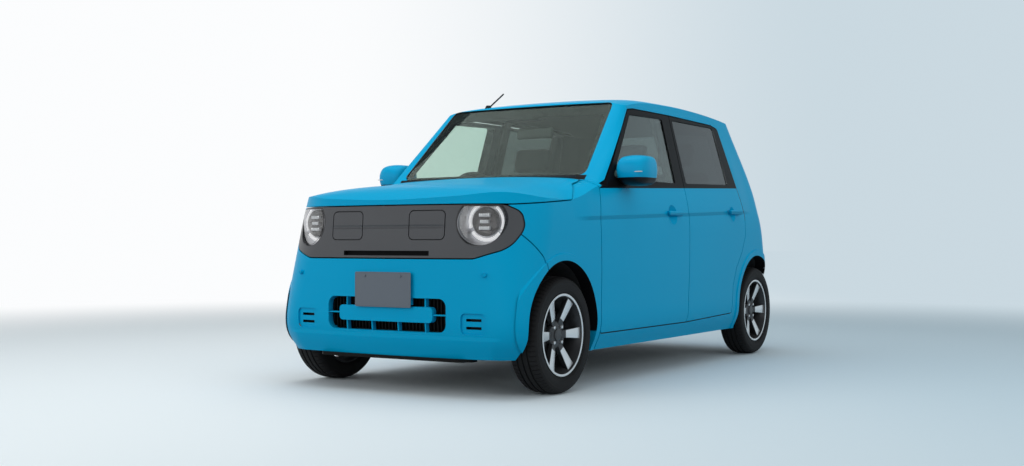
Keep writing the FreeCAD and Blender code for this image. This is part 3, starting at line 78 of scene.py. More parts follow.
# Studio: a pale blue-grey floor that runs out of sight into a backdrop, white on the left and
# blue-grey on the right, under a bright dome with one broad soft lamp overhead and one in front.
FLOOR_LEFT = (0.80, 0.86, 0.88, 1.0)
FLOOR_RIGHT = (0.50, 0.63, 0.70, 1.0)
FLOOR_BOUNCE = (0.25, 0.31, 0.35, 1.0)
BACKDROP_LEFT = (0.97, 0.98, 0.99, 1.0)
BACKDROP_RIGHT = (0.59, 0.69, 0.75, 1.0)
CEILING_COLOUR = (0.10, 0.12, 0.13, 1.0)
CEILING_LOW = 0.22
CEILING_HIGH = 0.55
DOME_COLOUR = (0.93, 0.97, 1.0, 1.0)
DOME_STRENGTH = 0.62
BACKDROP_TURN = (math.cos(CAMERA_TURN), math.sin(CAMERA_TURN), 0.0)
BACKDROP_SPREAD = (-0.16, 0.26)
FLOOR_SPREAD = (-2.2, 2.6)
FAR_SPREAD = (-2.6, 4.4)
FLOOR_RADIUS = 90.0
FADE_NEAR = 4.0
FADE_FAR = 9.0
LAMPS = (("overhead_lamp", (-0.5, -0.6, 4.6), (0.0, 0.0, 0.6), (5.0, 4.0), 95.0),
         ("front_lamp", (-2.6, -7.0, 2.6), (0.0, -1.0, 0.7), (5.0, 2.5), 120.0),
         ("side_lamp", (7.0, -1.5, 2.8), (0.6, 0.2, 0.8), (5.0, 2.5), 90.0))


def add_node(tree, kind, **settings):
    node = tree.nodes.new(kind)
    for name, value in settings.items():
        setattr(node, name, value)
    return node


def preset(node, *pairs):
    for label, value in pairs:
        node.inputs[label].default_value = value


def feed(node, label, source):
    node.id_data.links.new(source, node.inputs[label])


def new_material(name):
    material = bpy.data.materials.new(name)
    material.use_nodes = True
    return material, material.node_tree, material.node_tree.nodes["Principled BSDF"]


def math_node(tree, operation, first, second):
    node = add_node(tree, "ShaderNodeMath", operation=operation)
    for socket, value in zip(node.inputs, (first, second)):
        if isinstance(value, float):
            socket.default_value = value
        else:
            tree.links.new(value, socket)
    return node.outputs[0]


def smooth_step(tree, value, low, high):
    step = add_node(tree, "ShaderNodeMapRange", interpolation_type="SMOOTHSTEP")
    preset(step, ("From Min", low), ("From Max", high))
    feed(step, "Value", value)
    return step.outputs["Result"]


def mix_colour(tree, factor, first, second):
    mix = add_node(tree, "ShaderNodeMix", data_type="RGBA")
    for name, value in (("Factor", factor), ("A", first), ("B", second)):
        if isinstance(value, (tuple, float)):
            mix.inputs[name].default_value = value
        else:
            feed(mix, name, value)
    return mix.outputs["Result"]


def side_blend(tree, source, spread, left, right):
    dot = add_node(tree, "ShaderNodeVectorMath", operation="DOT_PRODUCT")
    preset(dot, (1, BACKDROP_TURN))
    feed(dot, 0, source)
    return mix_colour(tree, smooth_step(tree, dot.outputs["Value"], *spread), left, right)


def seen_by_camera(tree):
    path = add_node(tree, "ShaderNodeLightPath")
    seen = math_node(tree, "MAXIMUM", path.outputs["Is Camera Ray"], path.outputs["Is Glossy Ray"])
    return math_node(tree, "MAXIMUM", seen, path.outputs["Is Transmission Ray"])


def show_one(tree, factor, first, second, output):
    choice = add_node(tree, "ShaderNodeMixShader")
    feed(choice, "Fac", factor)
    feed(choice, 1, first.outputs[0])
    feed(choice, 2, second.outputs[0])
    tree.links.new(choice.outputs[0], tree.nodes[output].inputs["Surface"])


world = bpy.data.worlds.new("studio")
world.use_nodes = True
bpy.context.scene.world = world
tree = world.node_tree
dome = tree.nodes["Background"]
preset(dome, ("Color", DOME_COLOUR), ("Strength", DOME_STRENGTH))
backdrop = add_node(tree, "ShaderNodeBackground")
direction = add_node(tree, "ShaderNodeTexCoord")
colour = side_blend(tree, direction.outputs["Generated"], BACKDROP_SPREAD, BACKDROP_LEFT, BACKDROP_RIGHT)
height = add_node(tree, "ShaderNodeSeparateXYZ")
feed(height, 0, direction.outputs["Generated"])
upward = smooth_step(tree, height.outputs["Z"], CEILING_LOW, CEILING_HIGH)
feed(backdrop, "Color", mix_colour(tree, upward, colour, CEILING_COLOUR))
show_one(tree, seen_by_camera(tree), dome, backdrop, "World Output")

bpy.ops.object.select_all(action="DESELECT")
bpy.ops.mesh.primitive_circle_add(vertices=96, radius=FLOOR_RADIUS, fill_type="NGON")
floor = bpy.context.active_object
floor.name = "studio_floor"
material, tree, shader = new_material("studio_floor")
place = add_node(tree, "ShaderNodeTexCoord")
near_colour = side_blend(tree, place.outputs["Object"], FLOOR_SPREAD, FLOOR_LEFT, FLOOR_RIGHT)
far_colour = side_blend(tree, place.outputs["Object"], FAR_SPREAD, BACKDROP_LEFT, BACKDROP_RIGHT)
near_colour = mix_colour(tree, seen_by_camera(tree), FLOOR_BOUNCE, near_colour)
feed(shader, "Base Color", near_colour)
preset(shader, ("Roughness", 0.7), ("Specular IOR Level", 0.2))
glow = add_node(tree, "ShaderNodeEmission")
feed(glow, "Color", far_colour)
reach = add_node(tree, "ShaderNodeVectorMath", operation="LENGTH")
feed(reach, 0, place.outputs["Object"])
fade = smooth_step(tree, reach.outputs["Value"], FADE_NEAR, FADE_FAR)
seen = math_node(tree, "MULTIPLY", fade, seen_by_camera(tree))
show_one(tree, seen, shader, glow, "Material Output")
floor.data.materials.append(material)
floor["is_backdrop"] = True


def soft_lamp(name, place, aim, size, watts):
    lamp = bpy.data.lights.new(name, "AREA")
    lamp.shape = "RECTANGLE"
    lamp.size, lamp.size_y = size
    lamp.energy = watts
    holder = bpy.data.objects.new(name, lamp)
    holder.location = place
    holder.visible_glossy = False
    holder.rotation_euler = (Vector(aim) - Vector(place)).to_track_quat("-Z", "Y").to_euler()
    bpy.context.scene.collection.objects.link(holder)


for lamp_values in LAMPS:
    soft_lamp(*lamp_values)

# Painted steel panels: solid blue under a clear coat. The pressings are hung on the body with
# 6 mm gaps. Their backs are grey where they face the cabin and black inside the wheel arches.
PAINT_COLOUR = (0.0, 0.365, 0.635, 1.0)
PAINT_SHADE = (0.0, 0.345, 0.610, 1.0)
COAT_WEIGHT = 0.08
LINING_COLOUR = (0.16, 0.165, 0.17, 1.0)
BLACK_TRIM = (0.006, 0.006, 0.007, 1.0)
CABIN_CENTRE = (0.0, 0.25, 0.75)
LINING_HALF = 0.722
LINING_TURN = (-0.3, -0.34)
ARCH_HEIGHT = 0.3145
ARCH_REACH = 0.3165
ARCH_BLUR = 0.001
AXLES = (-1.2395, 1.2805)
SASH_LEVEL = 1.019
SASH_RISE = 0.036
CREASE_LEVEL = 0.868
CREASE_RISE = 0.0335
CREASE_WIDTH = 0.020
CREASE_DEPTH = 0.012
CREASE_FRONT = (-1.15, -0.95)
CREASE_BACK = (1.25, 1.05)
CREASE_SIDE = (0.60, 0.66)
SPLIT_LEVEL = 0.276
SPLIT_WIDTH = 0.018
SPLIT_ENDS = (0.65, 0.55)
VENT_CENTRE = (0.491, 0.3445)
VENT_PITCH = 0.036
VENT_HALF = (0.0395, 0.0063)


def new_group(name, inputs, outputs):
    group = bpy.data.node_groups.new(name, "ShaderNodeTree")
    for label, kind, value in inputs:
        socket = group.interface.new_socket(name=label, in_out="INPUT", socket_type=kind)
        socket.default_value = value
    for label, kind in outputs:
        group.interface.new_socket(name=label, in_out="OUTPUT", socket_type=kind)
    return group, add_node(group, "NodeGroupInput"), add_node(group, "NodeGroupOutput")


def use_group(tree, group, *values):
    node = add_node(tree, "ShaderNodeGroup", node_tree=group)
    for socket, value in zip(node.inputs, values):
        socket.default_value = value
    return node


def object_place(tree):
    return add_node(tree, "ShaderNodeTexCoord").outputs["Object"]


def object_axes(tree):
    axes = add_node(tree, "ShaderNodeSeparateXYZ")
    feed(axes, 0, object_place(tree))
    return axes


def distance(tree, value, other=0.0):
    return math_node(tree, "ABSOLUTE", math_node(tree, "SUBTRACT", value, other), 0.0)


def sloped(tree, value, slope, start):
    return math_node(tree, "ADD", math_node(tree, "MULTIPLY", value, slope), start)


def emboss(tree, shader, height, depth):
    bump = add_node(tree, "ShaderNodeBump")
    preset(bump, ("Distance", depth))
    feed(bump, "Height", height)
    feed(shader, "Normal", bump.outputs["Normal"])


# The mottle effect: two like colours mixed by a soft cloud, and a fine grain for bump and gloss
mottle, inner, outer = new_group(
    "mottle",
    [("Colour", "NodeSocketColor", BLACK_TRIM), ("Second Colour", "NodeSocketColor", BLACK_TRIM),
     ("Cloud Scale", "NodeSocketFloat", 3.0), ("Grain Scale", "NodeSocketFloat", 400.0)],
    [("Colour", "NodeSocketColor"), ("Grain", "NodeSocketFloat")])
place = object_place(mottle)
cloud = add_node(mottle, "ShaderNodeTexNoise")
grain = add_node(mottle, "ShaderNodeTexNoise")
for noise, scale in ((cloud, "Cloud Scale"), (grain, "Grain Scale")):
    preset(noise, ("Detail", 4.0))
    feed(noise, "Vector", place)
    feed(noise, "Scale", inner.outputs[scale])
colour = mix_colour(mottle, cloud.outputs["Fac"], inner.outputs["Colour"], inner.outputs["Second Colour"])
feed(outer, "Colour", colour)
feed(outer, "Grain", grain.outputs["Fac"])

# The lining effect: 1 on faces that look at the cabin, short of the door handles, and 1 inside the
# wheel arches
lining, inner, outer = new_group("lining", [], [("Cabin", "NodeSocketFloat"), ("Arch", "NodeSocketFloat")])
surface = add_node(lining, "ShaderNodeNewGeometry")
away = add_node(lining, "ShaderNodeVectorMath", operation="SUBTRACT")
preset(away, (1, CABIN_CENTRE))
unit = add_node(lining, "ShaderNodeVectorMath", operation="NORMALIZE")
facing = add_node(lining, "ShaderNodeVectorMath", operation="DOT_PRODUCT")
feed(away, 0, object_place(lining))
feed(unit, 0, away.outputs["Vector"])
feed(facing, 0, unit.outputs["Vector"])
feed(facing, 1, surface.outputs["Normal"])
axes = object_axes(lining)
inboard = math_node(lining, "LESS_THAN", distance(lining, axes.outputs["X"]), LINING_HALF)
turned_in = smooth_step(lining, facing.outputs["Value"], *LINING_TURN)
feed(outer, "Cabin", math_node(lining, "MULTIPLY", turned_in, inboard))
rise = math_node(lining, "SUBTRACT", axes.outputs["Z"], ARCH_HEIGHT)
rise_square = math_node(lining, "MULTIPLY", rise, rise)
arch = 0.0
for axle in AXLES:
    along = math_node(lining, "SUBTRACT", axes.outputs["Y"], axle)
    squares = math_node(lining, "ADD", math_node(lining, "MULTIPLY", along, along), rise_square)
    inside = smooth_step(lining, squares, (ARCH_REACH + ARCH_BLUR) ** 2, ARCH_REACH ** 2)
    arch = math_node(lining, "MAXIMUM", inside, arch)
feed(outer, "Arch", arch)

# The level effect: 1 above a line that rises from nose to tail
LINE_BLUR = 0.001
level, inner, outer = new_group(
    "level",
    [("Level", "NodeSocketFloat", 1.0), ("Rise", "NodeSocketFloat", 0.0),
     ("Blur", "NodeSocketFloat", LINE_BLUR)],
    [("Mask", "NodeSocketFloat")])
axes = object_axes(level)
line = math_node(level, "MULTIPLY", axes.outputs["Y"], inner.outputs["Rise"])
height = math_node(level, "SUBTRACT", axes.outputs["Z"], line)
above = math_node(level, "SUBTRACT", height, inner.outputs["Level"])
share = math_node(level, "DIVIDE", above, inner.outputs["Blur"])
clamp = add_node(level, "ShaderNodeClamp")
feed(clamp, "Value", math_node(level, "ADD", share, 0.5))
feed(outer, "Mask", clamp.outputs[0])


def both_under(tree, first, first_limit, second, second_limit):
    return math_node(tree, "MULTIPLY", math_node(tree, "LESS_THAN", first, first_limit),
                     math_node(tree, "LESS_THAN", second, second_limit))


def vent_mask(tree, axes):
    across = distance(tree, distance(tree, axes.outputs["X"]), VENT_CENTRE[0])
    slot = distance(tree, distance(tree, axes.outputs["Z"], VENT_CENTRE[1]), VENT_PITCH / 2)
    return both_under(tree, across, VENT_HALF[0], slot, VENT_HALF[1])


def paint_material(name, sash=False, vents=False):
    material, tree, shader = new_material(name)
    coat = use_group(tree, mottle, PAINT_COLOUR, PAINT_SHADE, 1.5, 90.0)
    back = use_group(tree, lining)
    colour = coat.outputs["Colour"]
    if sash:
        above = use_group(tree, level, SASH_LEVEL, SASH_RISE, LINE_BLUR)
        colour = mix_colour(tree, above.outputs["Mask"], colour, BLACK_TRIM)
    colour = mix_colour(tree, back.outputs["Cabin"], colour, LINING_COLOUR)
    colour = mix_colour(tree, back.outputs["Arch"], colour, BLACK_TRIM)
    axes = object_axes(tree)
    if vents:
        colour = mix_colour(tree, vent_mask(tree, axes), colour, BLACK_TRIM)
    feed(shader, "Base Color", colour)
    hidden = math_node(tree, "MAXIMUM", back.outputs["Cabin"], back.outputs["Arch"])
    shine = math_node(tree, "MULTIPLY", math_node(tree, "SUBTRACT", 1.0, hidden), COAT_WEIGHT)
    feed(shader, "Coat Weight", shine)
    feed(shader, "Roughness", sloped(tree, hidden, 0.35, 0.4))
    preset(shader, ("Specular IOR Level", 0.04), ("Coat Roughness", 0.05))
    side = distance(tree, axes.outputs["X"])
    step = use_group(tree, level, CREASE_LEVEL, CREASE_RISE, CREASE_WIDTH)
    ends = math_node(tree, "MULTIPLY", smooth_step(tree, axes.outputs["Y"], *CREASE_FRONT),
                     smooth_step(tree, axes.outputs["Y"], *CREASE_BACK))
    where = math_node(tree, "MULTIPLY", smooth_step(tree, side, *CREASE_SIDE), ends)
    height = math_node(tree, "MULTIPLY", step.outputs["Mask"], where)
    if vents:
        fold = use_group(tree, level, SPLIT_LEVEL, 0.0, SPLIT_WIDTH)
        centred = smooth_step(tree, side, *SPLIT_ENDS)
        height = math_node(tree, "MULTIPLY", sloped(tree, fold.outputs["Mask"], -1.0, 1.0), centred)
    emboss(tree, shader, height, CREASE_DEPTH)
    return material


def dress(material, *names):
    for name in names:
        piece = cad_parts[name]
        piece.data.materials.clear()
        piece.data.materials.append(material)


PAINTED = ["side_frames", "roof", "fenders", "rear_bumper", "hood", "tailgate"]
DOORS = ["front_door_left", "front_door_right", "rear_door_left", "rear_door_right"]
blue_paint = paint_material("blue_paint")
dress(blue_paint, *PAINTED)
dress(paint_material("door_paint", sash=True), *DOORS)
dress(paint_material("bumper_paint", vents=True), "front_bumper")

# Moulded plastics, castings and coatings share one recipe: a mottled colour under a fine grain,
# dull where the grain is coarse. Each is given its own colours, gloss and grain.
GRAIN_SPREAD = 0.16


def moulded(name, colour, second, roughness, grain=500.0, depth=0.0002, metallic=0.0, specular=0.5):
    material, tree, shader = new_material(name)
    cloud = use_group(tree, mottle, colour + (1.0,), second + (1.0,), 9.0, grain)
    feed(shader, "Base Color", cloud.outputs["Colour"])
    gloss = sloped(tree, cloud.outputs["Grain"], GRAIN_SPREAD, roughness - GRAIN_SPREAD / 2)
    feed(shader, "Roughness", gloss)
    preset(shader, ("Metallic", metallic), ("Specular IOR Level", specular))
    emboss(tree, shader, cloud.outputs["Grain"], depth)
    return material


black_plastic = moulded("black_plastic", (0.010, 0.010, 0.011), (0.016, 0.016, 0.017), 0.5)
dark_metal = moulded("coated_metal", (0.035, 0.036, 0.038), (0.06, 0.058, 0.055), 0.5, 120.0, 0.0006, 0.6)
bright_metal = moulded("machined_metal", (0.72, 0.73, 0.74), (0.78, 0.79, 0.80), 0.34, 900.0, 0.00005, 0.8)
underbody = moulded("underbody_coating", (0.012, 0.012, 0.013), (0.022, 0.021, 0.020), 0.75, 160.0, 0.001)
dash_plastic = moulded("dash_plastic", (0.030, 0.031, 0.033), (0.038, 0.039, 0.041), 0.6, 700.0, 0.0003)
grille_black = moulded("grille_black", (0.003, 0.003, 0.003), (0.005, 0.005, 0.005), 0.55, specular=0.12)
dress(black_plastic, "cowl", "antenna")
dress(grille_black, "lower_grille")
dress(dark_metal, "front_suspension", "rear_axle", "drive_unit", "battery_pack")
dress(dark_metal, "knuckle_left", "knuckle_right")
dress(underbody, "floor_pan")
dress(dash_plastic, "dashboard", "centre_posts")

# Grey panel between the lamps: satin moulded plastic with a soft ridge across its upper half,
# a dark air slot and two lids. It is clipped to the bumper beam, and the lids swing on hinges.
PANEL_COLOUR = (0.074, 0.075, 0.080, 1.0)
PANEL_SHADE = (0.084, 0.085, 0.090, 1.0)
RIDGE_LEVEL = 0.790
RIDGE_WIDTH = 0.011
RIDGE_DEPTH = 0.005
RIDGE_HALF = 0.37
RIDGE_FADE = 0.28
SLOT_LEVEL = 0.666
SLOT_HALF = (0.2525, 0.0115)

material, tree, shader = new_material("grey_panel")
cloud = use_group(tree, mottle, PANEL_COLOUR, PANEL_SHADE, 6.0, 900.0)
axes = object_axes(tree)
aside = distance(tree, axes.outputs["X"])
within = both_under(tree, distance(tree, axes.outputs["Z"], SLOT_LEVEL), SLOT_HALF[1], aside, SLOT_HALF[0])
feed(shader, "Base Color", mix_colour(tree, within, cloud.outputs["Colour"], BLACK_TRIM))
feed(shader, "Roughness", sloped(tree, within, 0.5, 0.4))
preset(shader, ("Specular IOR Level", 0.3))
near = smooth_step(tree, distance(tree, axes.outputs["Z"], RIDGE_LEVEL), RIDGE_WIDTH, 0.0)
groove = math_node(tree, "MULTIPLY", near, smooth_step(tree, aside, RIDGE_HALF, RIDGE_FADE))
emboss(tree, shader, sloped(tree, groove, -1.0, 1.0), RIDGE_DEPTH)
dress(material, "front_panel", "charge_lid_left", "charge_lid_right")

# Window glass: 5 mm panes bonded in their openings, green-tinted in front and dark privacy glass
# from the rear doors back. The cut edges of the door panes sit in black rubber.
EDGE_TURN = (0.62, 0.56)


def glass_material(name, tint, transmission, rubbered=False):
    material, tree, shader = new_material(name)
    preset(shader, ("Roughness", 0.0))
    haze = add_node(tree, "ShaderNodeTexNoise")
    preset(haze, ("Scale", 2.0))
    feed(haze, "Vector", object_place(tree))
    second = tuple(0.97 * c for c in tint[:3]) + (1.0,)
    colour = mix_colour(tree, haze.outputs["Fac"], tint, second)
    if rubbered:
        surface = add_node(tree, "ShaderNodeNewGeometry")
        axes = add_node(tree, "ShaderNodeSeparateXYZ")
        feed(axes, 0, surface.outputs["True Normal"])
        edge = smooth_step(tree, distance(tree, axes.outputs["X"]), *EDGE_TURN)
        colour = mix_colour(tree, edge, colour, BLACK_TRIM)
        feed(shader, "Roughness", edge)
    feed(shader, "Base Color", colour)
    preset(shader, ("IOR", 1.45), ("Transmission Weight", transmission))
    return material


clear_glass = glass_material("clear_glass", (0.72, 0.86, 0.79, 1.0), 1.0)
door_glass = glass_material("door_glass", (0.72, 0.86, 0.79, 1.0), 1.0, rubbered=True)
dark_glass = glass_material("dark_glass", (0.10, 0.12, 0.12, 1.0), 0.9)
lens_clear = glass_material("lens_clear", (0.98, 0.98, 0.98, 1.0), 1.0)
dress(clear_glass, "windscreen")
dress(door_glass, "front_glass_left", "front_glass_right")
dress(dark_glass, "rear_glass_left", "rear_glass_right", "tailgate_glass")

# Black band printed round the inside of the windscreen, wide along the top, which hides the glue
# that holds the pane. It is cut from a copy of the pane and lies just behind it.
BAND_BOTTOM = (0.560, 1.078)
BAND_TOP = (0.492, 1.412)
BAND_SHIFT = (0.0, 0.0036, -0.0044)
CUTTER_SPAN = (-1.2, 0.4)


def activate(piece):
    bpy.ops.object.select_all(action="DESELECT")
    piece.select_set(True)
    bpy.context.view_layer.objects.active = piece


def mesh_piece(name, points, faces=(), edges=()):
    mesh = bpy.data.meshes.new(name)
    mesh.from_pydata([tuple(p) for p in points], list(edges), list(faces))
    piece = bpy.data.objects.new(name, mesh)
    bpy.context.scene.collection.objects.link(piece)
    activate(piece)
    return piece


def edit(*steps):
    bpy.ops.object.mode_set(mode="EDIT")
    bpy.ops.mesh.select_all(action="SELECT")
    for step in steps:
        step()
    bpy.ops.object.mode_set(mode="OBJECT")


def tidy():
    bpy.ops.mesh.remove_doubles(threshold=0.00002)
    bpy.ops.mesh.normals_make_consistent(inside=False)


def modify(piece, kind, **settings):
    activate(piece)
    modifier = piece.modifiers.new(kind.lower(), kind)
    for name, value in settings.items():
        setattr(modifier, name, value)
    bpy.ops.object.modifier_apply(modifier=modifier.name)


def put(piece, place):
    piece.data.transform(piece.matrix_world)
    piece.matrix_world = Matrix.Identity(4)
    piece.data.transform(Matrix.Translation(place))
    piece.data.update()


def finish(piece, body, material, angle=40.0):
    activate(piece)
    bpy.ops.object.transform_apply(location=True, rotation=True, scale=True)
    bpy.ops.object.shade_smooth_by_angle(angle=math.radians(angle))
    if not piece.data.materials:
        piece.data.materials.append(material)
    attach(piece, body)


def copy_of(source, name):
    piece = bpy.data.objects.new(name, source.data.copy())
    bpy.context.scene.collection.objects.link(piece)
    return piece


def merged_copy(name, node):
    piece = copy_of(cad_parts[node], name)
    piece.data.materials.clear()
    activate(piece)
    bpy.ops.mesh.customdata_custom_splitnormals_clear()
    edit(tidy)
    return piece


def prism_along(name, outline, start, end):
    count = len(outline)
    points = [(x, start, z) for x, z in outline] + [(x, end, z) for x, z in outline]
    faces = [tuple(range(count)), tuple(range(2 * count - 1, count - 1, -1))]
    faces += [(i, i + count, (i + 1) % count + count, (i + 1) % count) for i in range(count)]
    piece = mesh_piece(name, points, faces)
    edit(tidy)
    return piece


def cut_away(piece, cutter, operation="DIFFERENCE"):
    modify(piece, "BOOLEAN", object=cutter, operation=operation, solver="EXACT")
    bpy.data.objects.remove(cutter)


half = [BAND_BOTTOM, BAND_TOP]
band = merged_copy("windscreen_band", "windscreen")
cut_away(band, prism_along("pane_cutter", half + [(-x, z) for x, z in reversed(half)], *CUTTER_SPAN))
put(band, BAND_SHIFT)
finish(band, "body_shell", grille_black)

# Seals: black rubber sections that fill the gap over the doors from inside, and the gap between the
# rear bumper and the body side behind the wheel arch. Each row holds a name, a place and a size.
SEALS = (("door_seal", (0.507, 0.36, 1.452), (0.024, 1.36, 0.024)),
         ("arch_seal", (0.671, 1.504, 0.5485), (0.058, 0.028, 0.005)),
         ("bumper_seal", (0.648, 1.530, 0.5485), (0.060, 0.026, 0.005)),
         ("corner_seal", (0.585, 1.568, 0.5485), (0.070, 0.050, 0.005)))
SIDES = ((1, "left"), (-1, "right"))


def cube(name):
    bpy.ops.object.select_all(action="DESELECT")
    bpy.ops.mesh.primitive_cube_add(size=1.0)
    piece = bpy.context.active_object
    piece.name = name
    return piece


def block(name, place, size, bevel, segments=3, taper=None):
    piece = cube(name)
    for vertex in piece.data.vertices:
        x, y, z = vertex.co
        wide = taper if taper and z < 0 else 1.0
        vertex.co = (x * size[0] * wide, y * size[1], z * size[2])
    modify(piece, "BEVEL", width=bevel, segments=segments, limit_method="ANGLE")
    put(piece, place)
    return piece


for side, name in SIDES:
    for title, place, size in SEALS:
        seal = block(f"{title}_{name}", (side * place[0], *place[1:]), size, min(size) / 4)
        finish(seal, "body_shell", grille_black)

# Camera housing and mirror behind the top of the windscreen: a black moulded wedge glued to the
# pane, with the driver's mirror on a short stalk under it.
HOUSING_TOP = (0.0, -0.335, 1.425)
HOUSING_SIZE = (0.17, 0.10, 0.05)
MIRROR_PLACE = (0.0, -0.285, 1.335)
MIRROR_SIZE = (0.235, 0.022, 0.062)

housing = block("camera_housing", HOUSING_TOP, HOUSING_SIZE, 0.012, taper=0.62)
finish(housing, "body_shell", black_plastic)
cabin_mirror = block("cabin_mirror", MIRROR_PLACE, MIRROR_SIZE, 0.0105, 4)
finish(cabin_mirror, "body_shell", black_plastic)

# Wipers: two black arms with rubber blades, parked on the cowl at the foot of the windscreen.
# Each arm is pressed steel on a splined spindle. They are drawn parked and have no joint.
WIPER_PIVOTS = ((0.07, -0.842), (-0.47, -0.800))
WIPER_LEVEL = 1.046
WIPER_REACH = 0.50
WIPER_TURN = math.radians(3.0)
ARM_SIZE = (0.6 * WIPER_REACH, 0.016, 0.008)
ARM_PLACE = (0.28 * WIPER_REACH, 0.0, 0.0)
BLADE_SIZE = (WIPER_REACH, 0.010, 0.014)
BLADE_PLACE = (0.52 * WIPER_REACH, 0.012, 0.006)
CAP_RADIUS = 0.012
CAP_HEIGHT = 0.018


def join(pieces, name):
    activate(pieces[0])
    for piece in pieces:
        piece.select_set(True)
    bpy.ops.object.join()
    joined = bpy.context.active_object
    joined.name = name
    return joined


def cylinder(sides, radius, length, bevel):
    bpy.ops.object.select_all(action="DESELECT")
    bpy.ops.mesh.primitive_cylinder_add(vertices=sides, radius=radius, depth=length)
    piece = bpy.context.active_object
    modify(piece, "BEVEL", width=bevel, segments=2, limit_method="ANGLE")
    return piece


for number, (x, y) in enumerate(WIPER_PIVOTS):
    arm = block("wiper_arm", ARM_PLACE, ARM_SIZE, 0.0025, 2)
    blade = block("wiper_blade", BLADE_PLACE, BLADE_SIZE, 0.003, 2)
    arm = join([arm, blade, cylinder(24, CAP_RADIUS, CAP_HEIGHT, 0.003)], f"wiper_{number}")
    arm.data.transform(Matrix.Rotation(-WIPER_TURN, 4, "Z"))
    put(arm, (x, y, WIPER_LEVEL))
    finish(arm, "body_shell", black_plastic)

# Headlamp: a black housing with a round bowl under a flat top. A silver cone lines the bowl, and on
# its floor stand a dark disc with stacked clear blocks and a white light guide in three arcs, which is
# given a faint painted glow. The clear lens is welded into the housing, flush with the bodywork.
LAMP_CENTRE = Vector((0.506, -1.606, 0.8119))
LENS_TURN = math.radians(22.0)
LENS_TILT = math.radians(4.5)
LENS_RADIUS = 0.1085
LENS_BULGE = 0.013
LENS_THICK = 0.0025
LENS_RINGS = 10
LENS_SIDES = 72
BOWL_TURN = math.radians(6.0)
BOWL_FLOOR = (-0.046, 0.0935)
BOWL_MOUTH = (0.060, 0.1215)
BOWL_OVERRUN = 0.001
BOWL_PLAY = 0.0004
LINER = 0.0015
CONE_HOLE = 0.03
LAMP_TOP = 0.071
DISC_RADIUS = 0.067
DISC_PROFILE = ((-0.028, 0.067), (-0.025, 0.064), (-0.027, 0.061), (-0.030, 0.04), (-0.030, 0.0))
GUIDE_FRONT = -0.036
GUIDE_CREST = -0.032
GUIDE_RADIUS = 0.0845
GUIDE_ARCS = ((112.0, 200.0, 0.0070), (214.0, 322.0, 0.0075), (-24.0, 52.0, 0.0045))
CELLS = 5
CELL_DEPTH = -0.022
CELL_SIZE = (0.018, 0.016)
CELL_GAP = 0.001
CELL_ROWS = ((0.030, 0.056), (0.0, 0.044), (-0.030, 0.056))

reflector = moulded("lamp_reflector", (0.50, 0.51, 0.54), (0.42, 0.43, 0.46), 0.3, 300.0, 0.0, 0.6)
lamp_black = moulded("lamp_black", (0.012, 0.012, 0.014), (0.020, 0.020, 0.022), 0.28, 300.0, 0.0)
guide_painted_glow = moulded("light_guide", (0.95, 0.95, 0.96), (0.92, 0.92, 0.94), 0.3, 300.0, 0.0)
# The light guide is given a faint glow of its own so that it reads bright white: painted light.
guide_shader = guide_painted_glow.node_tree.nodes["Principled BSDF"]
preset(guide_shader, ("Emission Color", (1.0, 1.0, 1.0, 1.0)), ("Emission Strength", 0.4))
cell_clear = moulded("lamp_cells", (0.55, 0.57, 0.60), (0.78, 0.80, 0.82), 0.2, 300.0, 0.0, 0.2)


def outline_piece(name, profile):
    edges = [(i, i + 1) for i in range(len(profile) - 1)]
    return mesh_piece(name, [(x, 0.0, r) for x, r in profile], edges=edges)


def spin(steps, turn, copies=False):
    bpy.ops.mesh.spin(steps=steps, dupli=copies, angle=math.radians(turn),
                      center=(0.0, 0.0, 0.0), axis=(1.0, 0.0, 0.0))


def spun(name, profile, steps, turn=360.0):
    piece = outline_piece(name, profile)
    edit(lambda: spin(steps, turn), tidy)
    return piece


def closed(profile):
    return list(profile) + [profile[0]]


def slice_off(piece, place, normal):
    activate(piece)
    edit(lambda: bpy.ops.mesh.bisect(plane_co=place, plane_no=normal, use_fill=True, clear_outer=True), tidy)


# A lamp piece is made about the X axis, then turned to look out of the lamp and cut under the flat top
def into_lamp(piece, side, turn, tilt=0.0, behind_lens=True):
    aim = Matrix.Rotation(side * turn - math.pi / 2, 4, "Z") @ Matrix.Rotation(-tilt, 4, "Y")
    centre = Vector((side * LAMP_CENTRE.x, LAMP_CENTRE.y, LAMP_CENTRE.z))
    piece.data.transform(Matrix.Translation(centre) @ aim)
    if behind_lens:
        slice_off(piece, centre, (side * math.sin(LENS_TURN), -math.cos(LENS_TURN), math.sin(LENS_TILT)))
    slice_off(piece, centre + Vector((0.0, 0.0, LAMP_TOP)), (0.0, 0.0, 1.0))


(depth, small), (mouth, large) = BOWL_FLOOR, BOWL_MOUTH
cut_depth = depth - BOWL_OVERRUN
bowl_profile = [(cut_depth, 0.0), (cut_depth, small), BOWL_MOUTH, (mouth, 0.0)]
housing = merged_copy("lamp_housing", "headlamps")
for side in (1, -1):
    bowl = spun("bowl_cutter", bowl_profile, LENS_SIDES)
    into_lamp(bowl, side, BOWL_TURN, behind_lens=False)
    cut_away(housing, bowl)
finish(housing, "body_shell", lamp_black)
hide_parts("headlamps")

